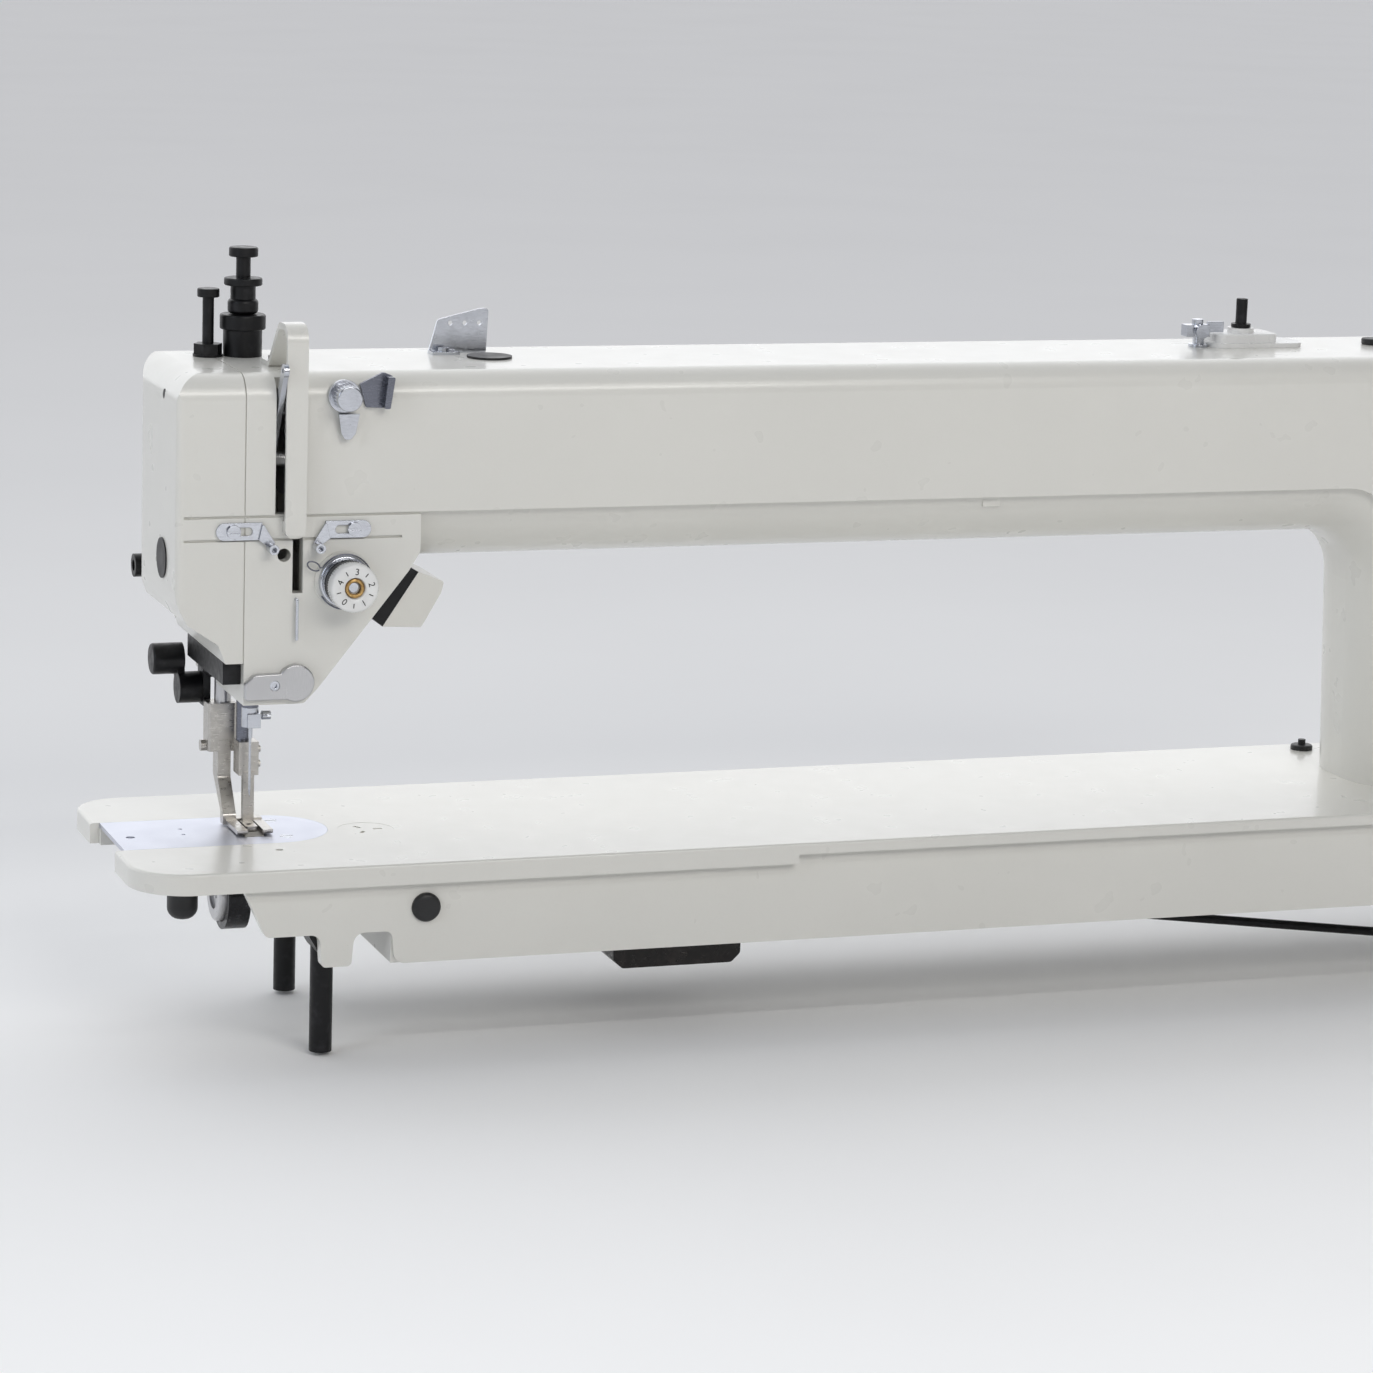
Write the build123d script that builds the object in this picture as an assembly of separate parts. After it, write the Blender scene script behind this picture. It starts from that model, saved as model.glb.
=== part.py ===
from build123d import *
import os
from math import atan2, cos, degrees, pi, radians, sin

os.makedirs("parts", exist_ok=True)

# Long-arm lockstitch machine head for leather, with a needle foot and an outer foot.
# Millimetres. The origin is the needle's drop point on the bed's top face: +X runs along
# the arm to the pillar, +Y runs away from the operator and +Z is up.

# ---- driving dimensions -------------------------------------------------------------
throat_length = 645.0        # needle to the pillar, at the bed
arm_clearance = 147.0        # bed to the underside of the arm
arm_height = 102.0           # underside of the arm to its top
arm_front = 50.0             # needle line to the front face of the arm
arm_back = 60.0              # needle line to the back face of the arm
pillar_width = 120.0
cover_width = 36.0           # face cover, from its seam to the left end
seam_to_needle = 16.0        # seam of the face cover, left of the needle
cast_wall = 8.0
bed_left = 78.6              # needle to the left end of the bed
bed_front = 90.6
bed_back = 87.4
bed_beyond_pillar = 22.0
rim_thick = 11.0
rim_thin = 6.0
rim_step_at = 278.0          # where the overhanging rim becomes thinner
rim_overhang = 6.6
skirt_wall = 7.0
skirt_depth = 54.5
notch_depth = 37.0
plate_width = 62.6           # needle plate and slide plate, front to back
plate_thick = 2.4
plate_shift = -0.8           # centre of the plates, from the needle line
shaft_z = 205.0
main_shaft_r = 9.0
hook_shaft_z = -33.0
hook_shaft_r = 7.5
needle_stroke = 36.0
needle_bar_r = 3.6
walking_bar_r = 3.5
presser_bar_r = 4.5
hook_r = 20.0
upper_pulley_r = 30.0
pulley_width = 18.0
belt_thick = 3.0
handwheel_r = 68.0
leg_r = 6.0
leg_bottom = -105.7
slide_fit = 0.05             # radial clearance of a running fit
loose = 0.3                  # gap between faces that pass each other

# ---- places that follow from them ---------------------------------------------------
arm_top = arm_clearance + arm_height
arm_right = throat_length + pillar_width
bed_right = arm_right + bed_beyond_pillar
seam_x = -seam_to_needle
cover_left = seam_x - cover_width
core_front = -(arm_front - 3.0)      # the undercut body is set in from the front panel
core_back = arm_back - 3.0
lip_z = arm_clearance + 30.0         # lower edge of the arm's front panel
skirt_front = -(bed_front - rim_overhang)
skirt_back = bed_back - rim_overhang
plate_front = plate_shift - plate_width / 2
plate_back = plate_shift + plate_width / 2
plate_seam = -8.7                    # joint between slide plate and needle plate
slide_left = -73.5
walking_y = 13.5
walking_x = -0.5
presser_x = -8.0
presser_y = 28.0
block_low = 79.0                     # lower guide block for the two foot bars
block_high = 93.0
upper_guide_z = 184.0
upper_guide_h = 12.0
crank_left = 14.5
crank_right = 25.2
web_left = 26.0                      # wall that carries the main shaft's front bush
web_right = 46.0
crank_throw = needle_stroke / 2
belt_x = arm_right - 45.0
lower_pulley_r = upper_pulley_r / 2
dial_x = throat_length + 50.0
dial_z = 125.0
reverse_z = 62.0
winder_x = 575.0
winder_y = 18.0
winder_journal_r = 3.0
winder_hub = 10.0             # top of the winder's hub above the arm
bobbin_pin_r = 3.2
tension_x = 36.0
tension_z = 142.0
pretension_x = 34.5
pretension_z = 238.0

# bed
cross_walls = (59.5, 221.0, 400.0, arm_right - 75.0)   # centres of the bed's cross walls
cap_x = 61.0
cap_y = -11.5
cap_r = 15.0
guide_hole_x = 5.0
guide_hole_y = -47.0
guide_hole_r = 2.0
skirt_plug_x = 74.0
skirt_plug_z = -25.0
skirt_plug_r = 6.5
oil_cap_x = throat_length + 13.0
oil_cap_y = 72.0
pillar_bolt_x = (arm_right - 96.0, arm_right - 14.0)
pillar_bolt_y = (-28.0, 38.0)
pillar_bolt_r = 5.0
hinge_x = (160.0, arm_right - 120.0)
hinge_bore_r = 4.0
hinge_bore_depth = 18.0
hinge_z = -19.0
hook_bush_r = 11.0
plate_screw_x = 16.0
plate_screw_y = (-18.0, 18.0)
window_edge = 5.0
leg_places = ((25.0, -60.0), (36.0, 60.0))

# feed
feed_travel = 3.5
feed_x0 = -5.0
feed_x1 = 5.5
feed_y0 = -12.0
feed_y1 = 14.0
feed_top = 0.5
feed_bar_top = -rim_thick - 1.0
feed_bar_low = feed_bar_top - 7.0
feed_rock_y = 20.0
feed_rock_z = -44.0
feed_rock_r = 5.5
rock_lever_x0 = cross_walls[0] - 17.5
rock_lever_x1 = rock_lever_x0 + 10.0
rock_tip_r = 3.0

# arm, head and pillar
top_round = 13.0
under_round = 44.0
pillar_lean = 6.3            # how far the pillar's left side leans out towards the arm
corner_r = 32.0
nose_bottom = 78.0
nose_slope_x = 24.0
nose_right = 77.0
band_height = 12.0
groove_wide = 1.4
groove_deep = 1.5
seam_wide = 0.7
seam_deep = 0.9
slot_left = -0.5
slot_right = 14.5
slot_split = 9.0
slot_top = 247.0
slot_bottom = 136.0
belt_half_width = upper_pulley_r + loose + belt_thick
regulator_x = 0.0
regulator_y = 26.0
post_x = -18.5
post_y = 26.0
boss_r = 15.5
window_x0 = belt_x - 40.0
window_x1 = belt_x + 20.0
window_z0 = 60.0
window_z1 = 190.0
rear_screw_places = [
    (x, z) for x in (window_x0 - 4, window_x1 + 4) for z in (window_z0 - 4, window_z1 + 4)
]
plug_y = -19.0
plug_z = 151.0
plug_r = 9.5
regulator_r = 9.0
regulator_screw_r = 5.2
post_r = 3.0
guard_x0 = slot_left + 3.7
guard_width = 11.0
guard_thick = 2.5
left_guide_x = -22.5
right_guide_x = 41.0
guide_screw_z = lip_z - 8.0

# shafts, needle bar and take-up lever
main_bush_r = 14.0
middle_bush_x = 395.0
inner_bush_x = throat_length - 3.0
right_bush_x = arm_right - 26.0
main_bush_spans = (
    (web_left, web_right), (middle_bush_x, middle_bush_x + 10), (inner_bush_x, inner_bush_x + 10),
    (right_bush_x, arm_right),
)
lower_bush_r = 6.5
take_up_y = -31.0
take_up_z = 203.0
take_up_stud_r = 2.8
take_up_reach = 57.0
link_x0 = 5.8
link_x1 = 8.8
link_length = 58.0
crank_pin_r = 3.5
link_stud_r = 2.6
link_low = shaft_z + crank_throw - link_length
link_high = shaft_z + crank_throw
clamp_low = 56.0
clamp_high = 66.5
needle_y = -0.9

# feet and lifters
foot_lift = 9.0
walk_lift = 6.0
sleeve_depth = 12.0
lifter_y = 44.0
lifter_z = 69.0
lifter_pin_r = 3.5
lever_pin_r = 3.0
knee_left = cross_walls[2] - 2.0
knee_right = arm_right - 6.0
knee_left_z = -skirt_depth - 4.8
knee_drop = 45.5
knee_rod_r = 2.6


# ---- small shape helpers --------------------------------------------------------------
def box(x0, x1, y0, y1, z0, z1):
    """A box between two opposite corners."""
    middle = Pos((x0 + x1) / 2, (y0 + y1) / 2, (z0 + z1) / 2)
    return middle * Box(x1 - x0, y1 - y0, z1 - z0)


def rod_x(x0, x1, y, z, r):
    """A round bar along X."""
    return Pos((x0 + x1) / 2, y, z) * Rot(0, 90, 0) * Cylinder(r, x1 - x0)


def rod_y(y0, y1, x, z, r):
    """A round bar along Y."""
    return Pos(x, (y0 + y1) / 2, z) * Rot(90, 0, 0) * Cylinder(r, y1 - y0)


def rod_z(z0, z1, x, y, r):
    """A round bar along Z."""
    return Pos(x, y, (z0 + z1) / 2) * Cylinder(r, z1 - z0)


def rounded_face(points, radii):
    """A face from an outline in its local plane, with a radius at each corner."""
    return make_face(FilletPolyline(*points, radius=radii, close=True))


def slab_xz(points, radii, y0, y1):
    """An (x, z) outline made solid from y0 to y1."""
    plane = Plane((0, y1, 0), x_dir=(1, 0, 0), z_dir=(0, -1, 0))
    return extrude(plane * rounded_face(points, radii), y1 - y0)


def slab_yz(points, radii, x0, x1):
    """A (y, z) outline made solid from x0 to x1."""
    plane = Plane((x0, 0, 0), x_dir=(0, 1, 0), z_dir=(1, 0, 0))
    return extrude(plane * rounded_face(points, radii), x1 - x0)


def slab_xy(points, radii, z0, z1):
    """An (x, y) outline made solid from z0 to z1."""
    return extrude(Plane((0, 0, z0)) * rounded_face(points, radii), z1 - z0)


def long_edges(shape, axis, shortest):
    """The edges parallel to an axis that are at least a given length."""
    return shape.edges().filter_by(axis).filter_by(lambda edge: edge.length >= shortest)


def cap_screw(x, y, z, r, head_h, shank_h):
    """A round-headed screw that enters downwards, its head resting at height z."""
    head = rod_z(z, z + head_h, x, y, r)
    shank = rod_z(z - shank_h, z, x, y, r * 0.5)
    return head + shank


def front_screw(x, z, face_y, r, head_h, shank_h):
    """A screw that enters backwards from a front face at y = face_y, with a slot."""
    head = rod_y(face_y - head_h, face_y, x, z, r)
    head -= box(x - r, x + r, face_y - head_h - 1, face_y - head_h * 0.6, z - 0.6, z + 0.6)
    return head + rod_y(face_y, face_y + shank_h, x, z, r * 0.5)


# ---- bed ------------------------------------------------------------------------------
def skirt_side(y0, y1):
    """One long side of the bed's skirt, with the notch and foot at its left end."""
    outline = [
        (-24.0, -rim_thick + 2), (-11.0, -notch_depth), (17.5, -notch_depth),
        (18.7, -skirt_depth), (34.4, -skirt_depth), (36.0, -notch_depth),
        (56.0, -notch_depth), (57.5, -skirt_depth),
        (bed_right - rim_overhang, -skirt_depth), (bed_right - rim_overhang, -rim_thick + 2),
    ]
    return slab_xz(outline, [0, 4, 5, 2.5, 2.5, 6, 4, 6, 0, 0], y0, y1)


def plate_recess():
    """The flush seat of both plates, open at the bed's left end."""
    half = plate_width / 2
    outline = [
        (-bed_left - 5, plate_front), (10.7, plate_front),
        (10.7, plate_back), (-bed_left - 5, plate_back),
    ]
    straight = slab_xy(outline, 0, -plate_thick, 1)
    return straight + rod_z(-plate_thick, 1, 10.7, plate_shift, half)


def bed_casting():
    corners = [
        (-bed_left, -bed_front), (bed_right, -bed_front),
        (bed_right, bed_back), (-bed_left, bed_back),
    ]
    bed = slab_xy(corners, [30, 14, 14, 26], -rim_thick, 0)
    bed = fillet(bed.faces().sort_by(Axis.Z)[-1].edges(), 1.6)
    for y0, y1 in ((-bed_front - 1, skirt_front), (skirt_back, bed_back + 1)):
        bed -= box(rim_step_at, bed_right + 1, y0, y1, -rim_thick - 1, -rim_thin)
    bed += skirt_side(skirt_front, skirt_front + skirt_wall)
    bed += skirt_side(skirt_back - skirt_wall, skirt_back)
    right = bed_right - rim_overhang
    bed += box(right - skirt_wall, right, skirt_front + 1, skirt_back - 1, -skirt_depth, -5)
    for x in cross_walls:
        bed += box(x - 3.5, x + 3.5, skirt_front + 2, skirt_back - 2, -skirt_depth, -5)
        bed += rod_x(x - 3.5, x + 13.0, 0, hook_shaft_z, hook_bush_r + 5)
    bed -= plate_recess()
    bed -= box(-bed_left - 1, 11.0, plate_front + window_edge, plate_back - window_edge,
               -rim_thick - 1, 0)
    bed -= box(-bed_left - 1, slide_left - loose, plate_front, plate_back, -rim_thick - 1, 1)
    for x in cross_walls:
        bed -= rod_x(x - 5, x + 14, 0, hook_shaft_z, hook_bush_r + slide_fit)
        bed -= rod_x(x - 5, x + 14, feed_rock_y, feed_rock_z, feed_rock_r + 2)
    bed -= rod_z(-4, 1, cap_x, cap_y, cap_r + slide_fit)
    bed -= rod_z(-rim_thick - 1, 1, guide_hole_x, guide_hole_y, guide_hole_r)
    bed -= rod_y(skirt_front - 1, skirt_front + skirt_wall + 1, skirt_plug_x, skirt_plug_z,
                 skirt_plug_r + slide_fit)
    bed -= rod_z(-rim_thick - 1, 1, oil_cap_x, oil_cap_y, 3.0)
    for y in plate_screw_y:
        bed -= rod_z(-rim_thick - 1, 0, plate_screw_x, y, 2.0 + slide_fit)
    bed -= box(belt_x - 14, belt_x + 14, -belt_half_width - 4, belt_half_width + 4,
               -rim_thick - 1, 1)
    for x in pillar_bolt_x:
        for y in pillar_bolt_y:
            bed -= rod_z(-rim_thick - 1, 1, x, y, pillar_bolt_r + slide_fit)
    for x in hinge_x:
        bed += box(x - 10, x + 10, skirt_back - hinge_bore_depth - 4, skirt_back - 1,
                   hinge_z - 10, -5)
        bed -= rod_y(skirt_back - hinge_bore_depth, skirt_back + 1, x, hinge_z, hinge_bore_r)
    return bed


def bed_cap():
    """Flush threaded cap with three key slots."""
    cap = rod_z(-4, -0.1, cap_x, cap_y, cap_r)
    for turn in (0, 120, 240):
        slot = Pos(cap_x, cap_y, 0) * Rot(0, 0, turn) * Pos(6.5, 0, 0) * Box(5, 2, 2)
        cap -= slot
    return cap


def skirt_plug():
    """Domed plug pressed into the front of the skirt."""
    stem = rod_y(skirt_front, skirt_front + skirt_wall, skirt_plug_x, skirt_plug_z, skirt_plug_r)
    head = rod_y(skirt_front - 3.2, skirt_front, skirt_plug_x, skirt_plug_z, skirt_plug_r + 1.2)
    head = fillet(head.edges().sort_by(Axis.Y)[0], 2.4)
    return stem + head


def oil_cap():
    """Oil filler cap on the bed, with a small stud on top."""
    cap = rod_z(0, 3.0, oil_cap_x, oil_cap_y, 6.5)
    cap = fillet(cap.edges().sort_by(Axis.Z)[-1], 1.2)
    return cap + rod_z(3.0, 6.0, oil_cap_x, oil_cap_y, 2.2) + rod_z(-8, 0, oil_cap_x, oil_cap_y, 2.9)


def needle_plate():
    half = plate_width / 2 - 0.15
    body = rod_z(-plate_thick, 0, 10.7, plate_shift, half)
    body += box(-30, 10.7, plate_shift - half, plate_shift + half, -plate_thick, 0)
    body -= box(-60, plate_seam, -60, 60, -10, 10)
    body -= box(feed_x0 - 1, feed_x1 + 1, feed_y0 - feed_travel - 1, feed_y1 + feed_travel + 1,
                -plate_thick - 1, 1)
    for y in plate_screw_y:
        body -= rod_z(-plate_thick - 1, 1, plate_screw_x, y, 2.0 + slide_fit)
        body -= Pos(plate_screw_x, y, -0.75) * Cone(2.0 + slide_fit, 3.6 + slide_fit, 1.5)
    return body


def needle_plate_screws():
    """Two countersunk slotted screws."""
    screws = []
    for y in plate_screw_y:
        screw = rod_z(-9.0, -1.5, plate_screw_x, y, 2.0)
        screw += Pos(plate_screw_x, y, -0.75) * Cone(2.0, 3.6, 1.5)
        screw -= box(plate_screw_x - 4, plate_screw_x + 4, y - 0.5, y + 0.5, -0.8, 1)
        screws.append(screw)
    return Compound(screws)


def slide_plate():
    """Slide plate over the hook, with a finger hole and two small catch marks."""
    half = plate_width / 2 - 0.15
    body = box(slide_left, plate_seam - 0.1, plate_shift - half, plate_shift + half,
               -plate_thick, 0)
    body -= rod_z(-plate_thick - 1, 1, slide_left + 9.0, plate_shift - 4.0, 2.4)
    for x, y in ((-35.0, 8.0), (-36.0, -4.0)):
        body -= rod_z(-0.6, 1, x, y, 1.1)
    return body


# ---- feed ------------------------------------------------------------------------------
def feed_dog():
    """Toothed feed dog with a slot for the needle, screwed on its forked feed bar."""
    dog = box(feed_x0, feed_x1, feed_y0, feed_y1, feed_bar_top + 3, feed_top - 1.2)
    rows = int((feed_y1 - feed_y0) // 2)
    for row in range(rows):
        y = feed_y0 + 2 * row
        tooth = [(y, feed_top - 1.3), (y + 1.9, feed_top - 1.3), (y + 1.2, feed_top)]
        dog += slab_yz(tooth, 0, feed_x0, feed_x1)
    dog -= box(-1.9, 1.9, -1 - feed_travel - 1.5, feed_travel + 1.5, -40, 5)
    foot = box(-1.0, feed_x1, 6.0, feed_y1, feed_bar_top, feed_bar_top + 3)
    return dog + foot + feed_bar()


def feed_bar():
    """Bar that carries the feed dog, forked at its right end over the rock lever."""
    bar = box(-1.0, rock_lever_x1 + 1, 6.0, 12.0, feed_bar_low, feed_bar_top)
    reach = feed_rock_y + rock_tip_r + loose + 3.0
    head = box(rock_lever_x0, rock_lever_x1, 6.0, reach, feed_bar_low, feed_bar_top)
    gap = rock_tip_r + loose
    head -= box(rock_lever_x0 - 1, rock_lever_x1 + 1, feed_rock_y - gap, feed_rock_y + gap,
                feed_bar_low - 1, feed_bar_top - 2.0)
    return bar + head


def feed_rock_shaft():
    """Shaft under the bed whose lever rocks the feed bar back and forth."""
    shaft = rod_x(rock_lever_x0, belt_x - 40, feed_rock_y, feed_rock_z, feed_rock_r)
    tip_z = feed_bar_low + 1.5
    hub = rod_x(rock_lever_x0, rock_lever_x1, feed_rock_y, feed_rock_z, feed_rock_r + 3)
    arm = box(rock_lever_x0, rock_lever_x1, feed_rock_y - 2, feed_rock_y + 2,
              feed_rock_z, tip_z)
    tip = rod_x(rock_lever_x0, rock_lever_x1, feed_rock_y, tip_z, rock_tip_r)
    return shaft + hub + arm + tip


# ---- arm, head and pillar ----------------------------------------------------------------
def front_panel_body():
    """The flat-faced upper layer of the arm, whose lower lip turns down at the pillar."""
    lip_x = throat_length + 27.0
    outline = [
        (seam_x, lip_z), (throat_length - 20, lip_z), (lip_x, lip_z - 40), (lip_x, 0),
        (arm_right, 0), (arm_right, arm_top), (seam_x, arm_top),
    ]
    return slab_xz(outline, [0, 32, 40, 0, 0, 0, 0], -arm_front, arm_back)


def undercut_body():
    """The set-in lower layer: underside of the arm and the pillar, with large rounds."""
    left = 66.0
    outline = [
        (left, arm_clearance), (throat_length - pillar_lean, arm_clearance),
        (throat_length, 0), (arm_right, 0), (arm_right, arm_top - 20), (left, arm_top - 20),
    ]
    body = slab_xz(outline, [0, corner_r, 0, 0, 0, 0], core_front, core_back)
    chain = body.edges().filter_by(
        lambda edge: abs(abs(edge.center().Y - (core_front + core_back) / 2)
                         - (core_back - core_front) / 2) < 0.01
        and edge.center().Z < arm_clearance + 1
        and left < edge.center().X < throat_length + 1
    )
    return fillet(chain, under_round)


def nose_body():
    """The head's lower part, which tapers down to the needle bar."""
    outline = [
        (seam_x, nose_bottom), (nose_slope_x - 8, nose_bottom), (nose_slope_x, nose_bottom + 8.5),
        (nose_right - 6, arm_clearance - 1), (nose_right, arm_clearance + 9),
        (nose_right, arm_top - 30), (seam_x, arm_top - 30),
    ]
    return slab_xz(outline, [0, 4, 8, 5, 5, 0, 0], -arm_front, core_back)


def band_grooves():
    """Two shallow grooves that mark off a band across the head's front."""
    low = box(cover_left + 4, nose_right - 10, -arm_front - 1, -arm_front + groove_deep,
              lip_z - band_height - groove_wide, lip_z - band_height)
    high = box(cover_left + 4, nose_right + 1, -arm_front - 1, -arm_front + groove_deep,
               lip_z - groove_wide, lip_z)
    return low + high


def seam_groove():
    """Shallow groove round the edge of the face cover, where it meets the head."""
    y0, y1 = -arm_front, arm_back
    outer = [(y0 - 1, 90), (y1 + 1, 90), (y1 + 1, arm_top + 1), (y0 - 1, arm_top + 1)]
    inner = [
        (y0 + seam_deep, 89), (y1 - seam_deep, 89),
        (y1 - seam_deep, arm_top - seam_deep), (y0 + seam_deep, arm_top - seam_deep),
    ]
    core = slab_yz(inner, [0, 0, top_round, top_round], seam_x - seam_wide - 1, seam_x + 1)
    return slab_yz(outer, 0, seam_x - seam_wide, seam_x + 1) - core


def casting_cavities():
    """Hollows of the head, arm and pillar."""
    back = core_back - cast_wall
    front = core_front + cast_wall - 3
    roof = arm_top - cast_wall
    head = box(seam_x - 1, web_left, front, back, nose_bottom + 26, roof)
    throat = box(seam_x - 1, 14.0, needle_bar_r + 5, back, nose_bottom - 2, nose_bottom + 27)
    arm_outline = [
        (front + 2, arm_clearance + cast_wall), (back - 2, arm_clearance + cast_wall),
        (back, roof), (front, roof),
    ]
    tunnel_r = under_round - cast_wall - 2
    tunnel = slab_yz(arm_outline, [tunnel_r, tunnel_r, 4, 4], web_right, arm_right - 20)
    pillar_outline = [
        (throat_length + 12, front), (arm_right - cast_wall, front),
        (arm_right - cast_wall, back), (throat_length + 12, back),
    ]
    pillar = slab_xy(pillar_outline, [26, 4, 4, 26], -1, arm_clearance + 60)
    return head + throat + tunnel + pillar


def upper_bar_guide():
    """Cast lug across the head that guides the tops of the three bars."""
    back = core_back - cast_wall + 1
    z1 = upper_guide_z + upper_guide_h
    lug = box(seam_x, 5.4, -needle_bar_r - 3.4, back, upper_guide_z, z1)
    for x, y, r in (
        (0, 0, needle_bar_r + 1.4), (walking_x, walking_y, walking_bar_r),
        (presser_x, presser_y, presser_bar_r),
    ):
        lug -= rod_z(upper_guide_z - 1, z1 + 1, x, y, r + slide_fit)
    return lug


def arm_casting():
    body = front_panel_body() + undercut_body() + nose_body()
    body = fillet(long_edges(body, Axis.Z, arm_top - 5).sort_by(Axis.X)[-2:], 16)
    top_face = body.faces().filter_by(Axis.Z).sort_by(Axis.Z)[-1]
    rims = top_face.edges().filter_by(lambda edge: edge.center().X > seam_x + 1)
    body = fillet(rims, top_round)
    body += rod_y(-arm_front - 2, core_front + 1, tension_x, tension_z, boss_r)
    body -= band_grooves()
    body -= casting_cavities()
    for x in (middle_bush_x, inner_bush_x):
        web = box(x, x + 10, core_front + 3, core_back - 6, arm_clearance + 24, arm_top - 5)
        body += web
    body += rod_x(right_bush_x, arm_right - 1, 0, shaft_z, main_bush_r + 6)
    body += upper_bar_guide()
    post_wall_x = presser_x - presser_bar_r - 0.5
    body += box(post_x - 7, post_wall_x, post_y - 7, post_y + 7, arm_top - 24, arm_top - 8 - loose)
    body += box(seam_x, post_wall_x, post_y - 7, post_y + 7, arm_top - 24, arm_top - 7)
    for x in pillar_bolt_x:
        for y in pillar_bolt_y:
            body += box(x - 9, x + 9, y - 9, y + 9, 0, 22)
            body -= rod_z(-1, 18, x, y, pillar_bolt_r + slide_fit)
    for x0, x1 in main_bush_spans:
        body -= rod_x(x0 - 1, x1 + 1, 0, shaft_z, main_bush_r + slide_fit)
    body -= box(slot_left, slot_right, -arm_front - 1, core_front + 7, lip_z, slot_top)
    body -= box(slot_split, slot_right, -arm_front - 1, core_front + 7, slot_bottom, lip_z + 1)
    body -= rod_y(-arm_front - 1, core_front + 7, 4.5, 156.0, 3.5)
    body -= rod_z(nose_bottom - 1, nose_bottom + 30, 0, 0, lower_bush_r + slide_fit)
    body -= rod_z(arm_top - sleeve_depth, arm_top + 1, regulator_x, regulator_y,
                  regulator_r + slide_fit)
    body -= rod_z(arm_top - 26, arm_top, post_x, post_y, post_r + slide_fit)
    body -= rod_z(arm_top - 12, arm_top + 1, winder_x, winder_y, winder_journal_r + slide_fit)
    body -= box(window_x0, window_x1, core_back - 10, arm_back + 1, window_z0, window_z1)
    body -= rod_y(-arm_front - 1, core_front + 7, dial_x, dial_z, 6.0 + slide_fit)
    body -= box(dial_x - 5, dial_x + 5, -arm_front - 1, core_front + 7,
                reverse_z - 22, reverse_z + 22)
    body -= rod_x(web_left - 1, web_left + 12, take_up_y, take_up_z, take_up_stud_r + slide_fit)
    return body


def face_cover():
    """Shell over the left end of the head: a crisp front corner and a large back corner."""
    outline = [
        (seam_x, 100.0), (seam_x, arm_top), (cover_left, arm_top), (cover_left, 133.0),
        (cover_left + 6, 121.0), (-29.5, 110.0), (-25.5, 100.0),
    ]
    body = slab_xz(outline, [0, 0, 15, 22, 4, 4, 0], -arm_front, arm_back)
    plan = [
        (seam_x, -arm_front), (seam_x, arm_back), (cover_left, arm_back), (cover_left, -arm_front),
    ]
    body &= slab_xy(plan, [0, 0, 34, 3], 90, arm_top + 1)
    section = [
        (-arm_front, 90), (arm_back, 90), (arm_back, arm_top), (-arm_front, arm_top),
    ]
    body &= slab_yz(section, [0, 0, top_round, top_round], cover_left - 1, seam_x)
    inner = [
        (seam_x + 1, 90), (seam_x + 1, arm_top - 8), (cover_left + 5, arm_top - 8),
        (cover_left + 5, 135.0), (cover_left + 11, 126.0), (-24.5, 115.0), (-21.0, 90.0),
    ]
    body -= slab_xz(inner, [0, 0, 10, 18, 3, 3, 0], -arm_front + 5, arm_back - 14)
    body -= band_grooves()
    body -= seam_groove()
    body -= rod_z(arm_top - 12, arm_top + 1, post_x, post_y, post_r + loose)
    body -= rod_x(cover_left - 1, cover_left + 6, plug_y, plug_z, plug_r + slide_fit)
    body -= rod_x(cover_left - 1, cover_left + 1.6, plug_y, 241 - 5, 2.6)
    return body


def face_plug():
    """Black push-in plug in the left face of the cover."""
    plug = rod_x(cover_left - 0.8, cover_left, plug_y, plug_z, plug_r + 1.0)
    return plug + rod_x(cover_left, cover_left + 5, plug_y, plug_z, plug_r)


def face_cover_screw():
    """Slotted screw in its counterbore at the top of the left face."""
    screw = rod_x(cover_left + 0.3, cover_left + 1.6, plug_y, 236, 2.4)
    return screw


def lifter_stop_screw():
    """Black socket-head screw that stands out of the cover's rounded back corner."""
    y = arm_back - 6.0
    z = 134.0
    screw = rod_x(cover_left + 1, cover_left + 13, y, z, 6.2)
    screw -= rod_x(cover_left, cover_left + 6, y, z, 3.0)
    return screw + rod_x(cover_left + 13, cover_left + 30, y, z, 4.0) - face_cover()


def take_up_guard():
    """Painted strip bent over the take-up lever's path, from the arm's top to its face."""
    x0 = guard_x0
    x1 = x0 + guard_width
    outer = -arm_front - 7.0
    thick = guard_thick
    crest = arm_top + 26.0
    foot = arm_top + thick
    outline = [
        (-arm_front, lip_z - 12), (outer, lip_z - 12), (outer, crest), (-38, crest),
        (-16, foot), (-2, foot), (-2, arm_top), (-17.5, arm_top), (-38, crest - thick - 1.5),
        (outer + thick, crest - thick), (outer + thick, lip_z - 3), (-arm_front, lip_z - 3),
    ]
    strip = slab_yz(outline, [0, 3, 9, 9, 5, 0, 0, 3, 7, 7, 2, 0], x0, x1)
    low = lip_z - 12
    front_view = [(x0, low), (x1, low), (x1, crest + 1), (x0, crest + 1)]
    strip &= slab_xz(front_view, [5.4, 5.4, 0, 0], outer - 1, 0)
    return strip - rod_z(arm_top - 1, foot + 1, (x0 + x1) / 2, -7.0, 1.5 + slide_fit)


def guard_screw():
    x = guard_x0 + guard_width / 2
    return cap_screw(x, -7.0, arm_top + guard_thick, 3.0, 1.8, guard_thick)


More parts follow.
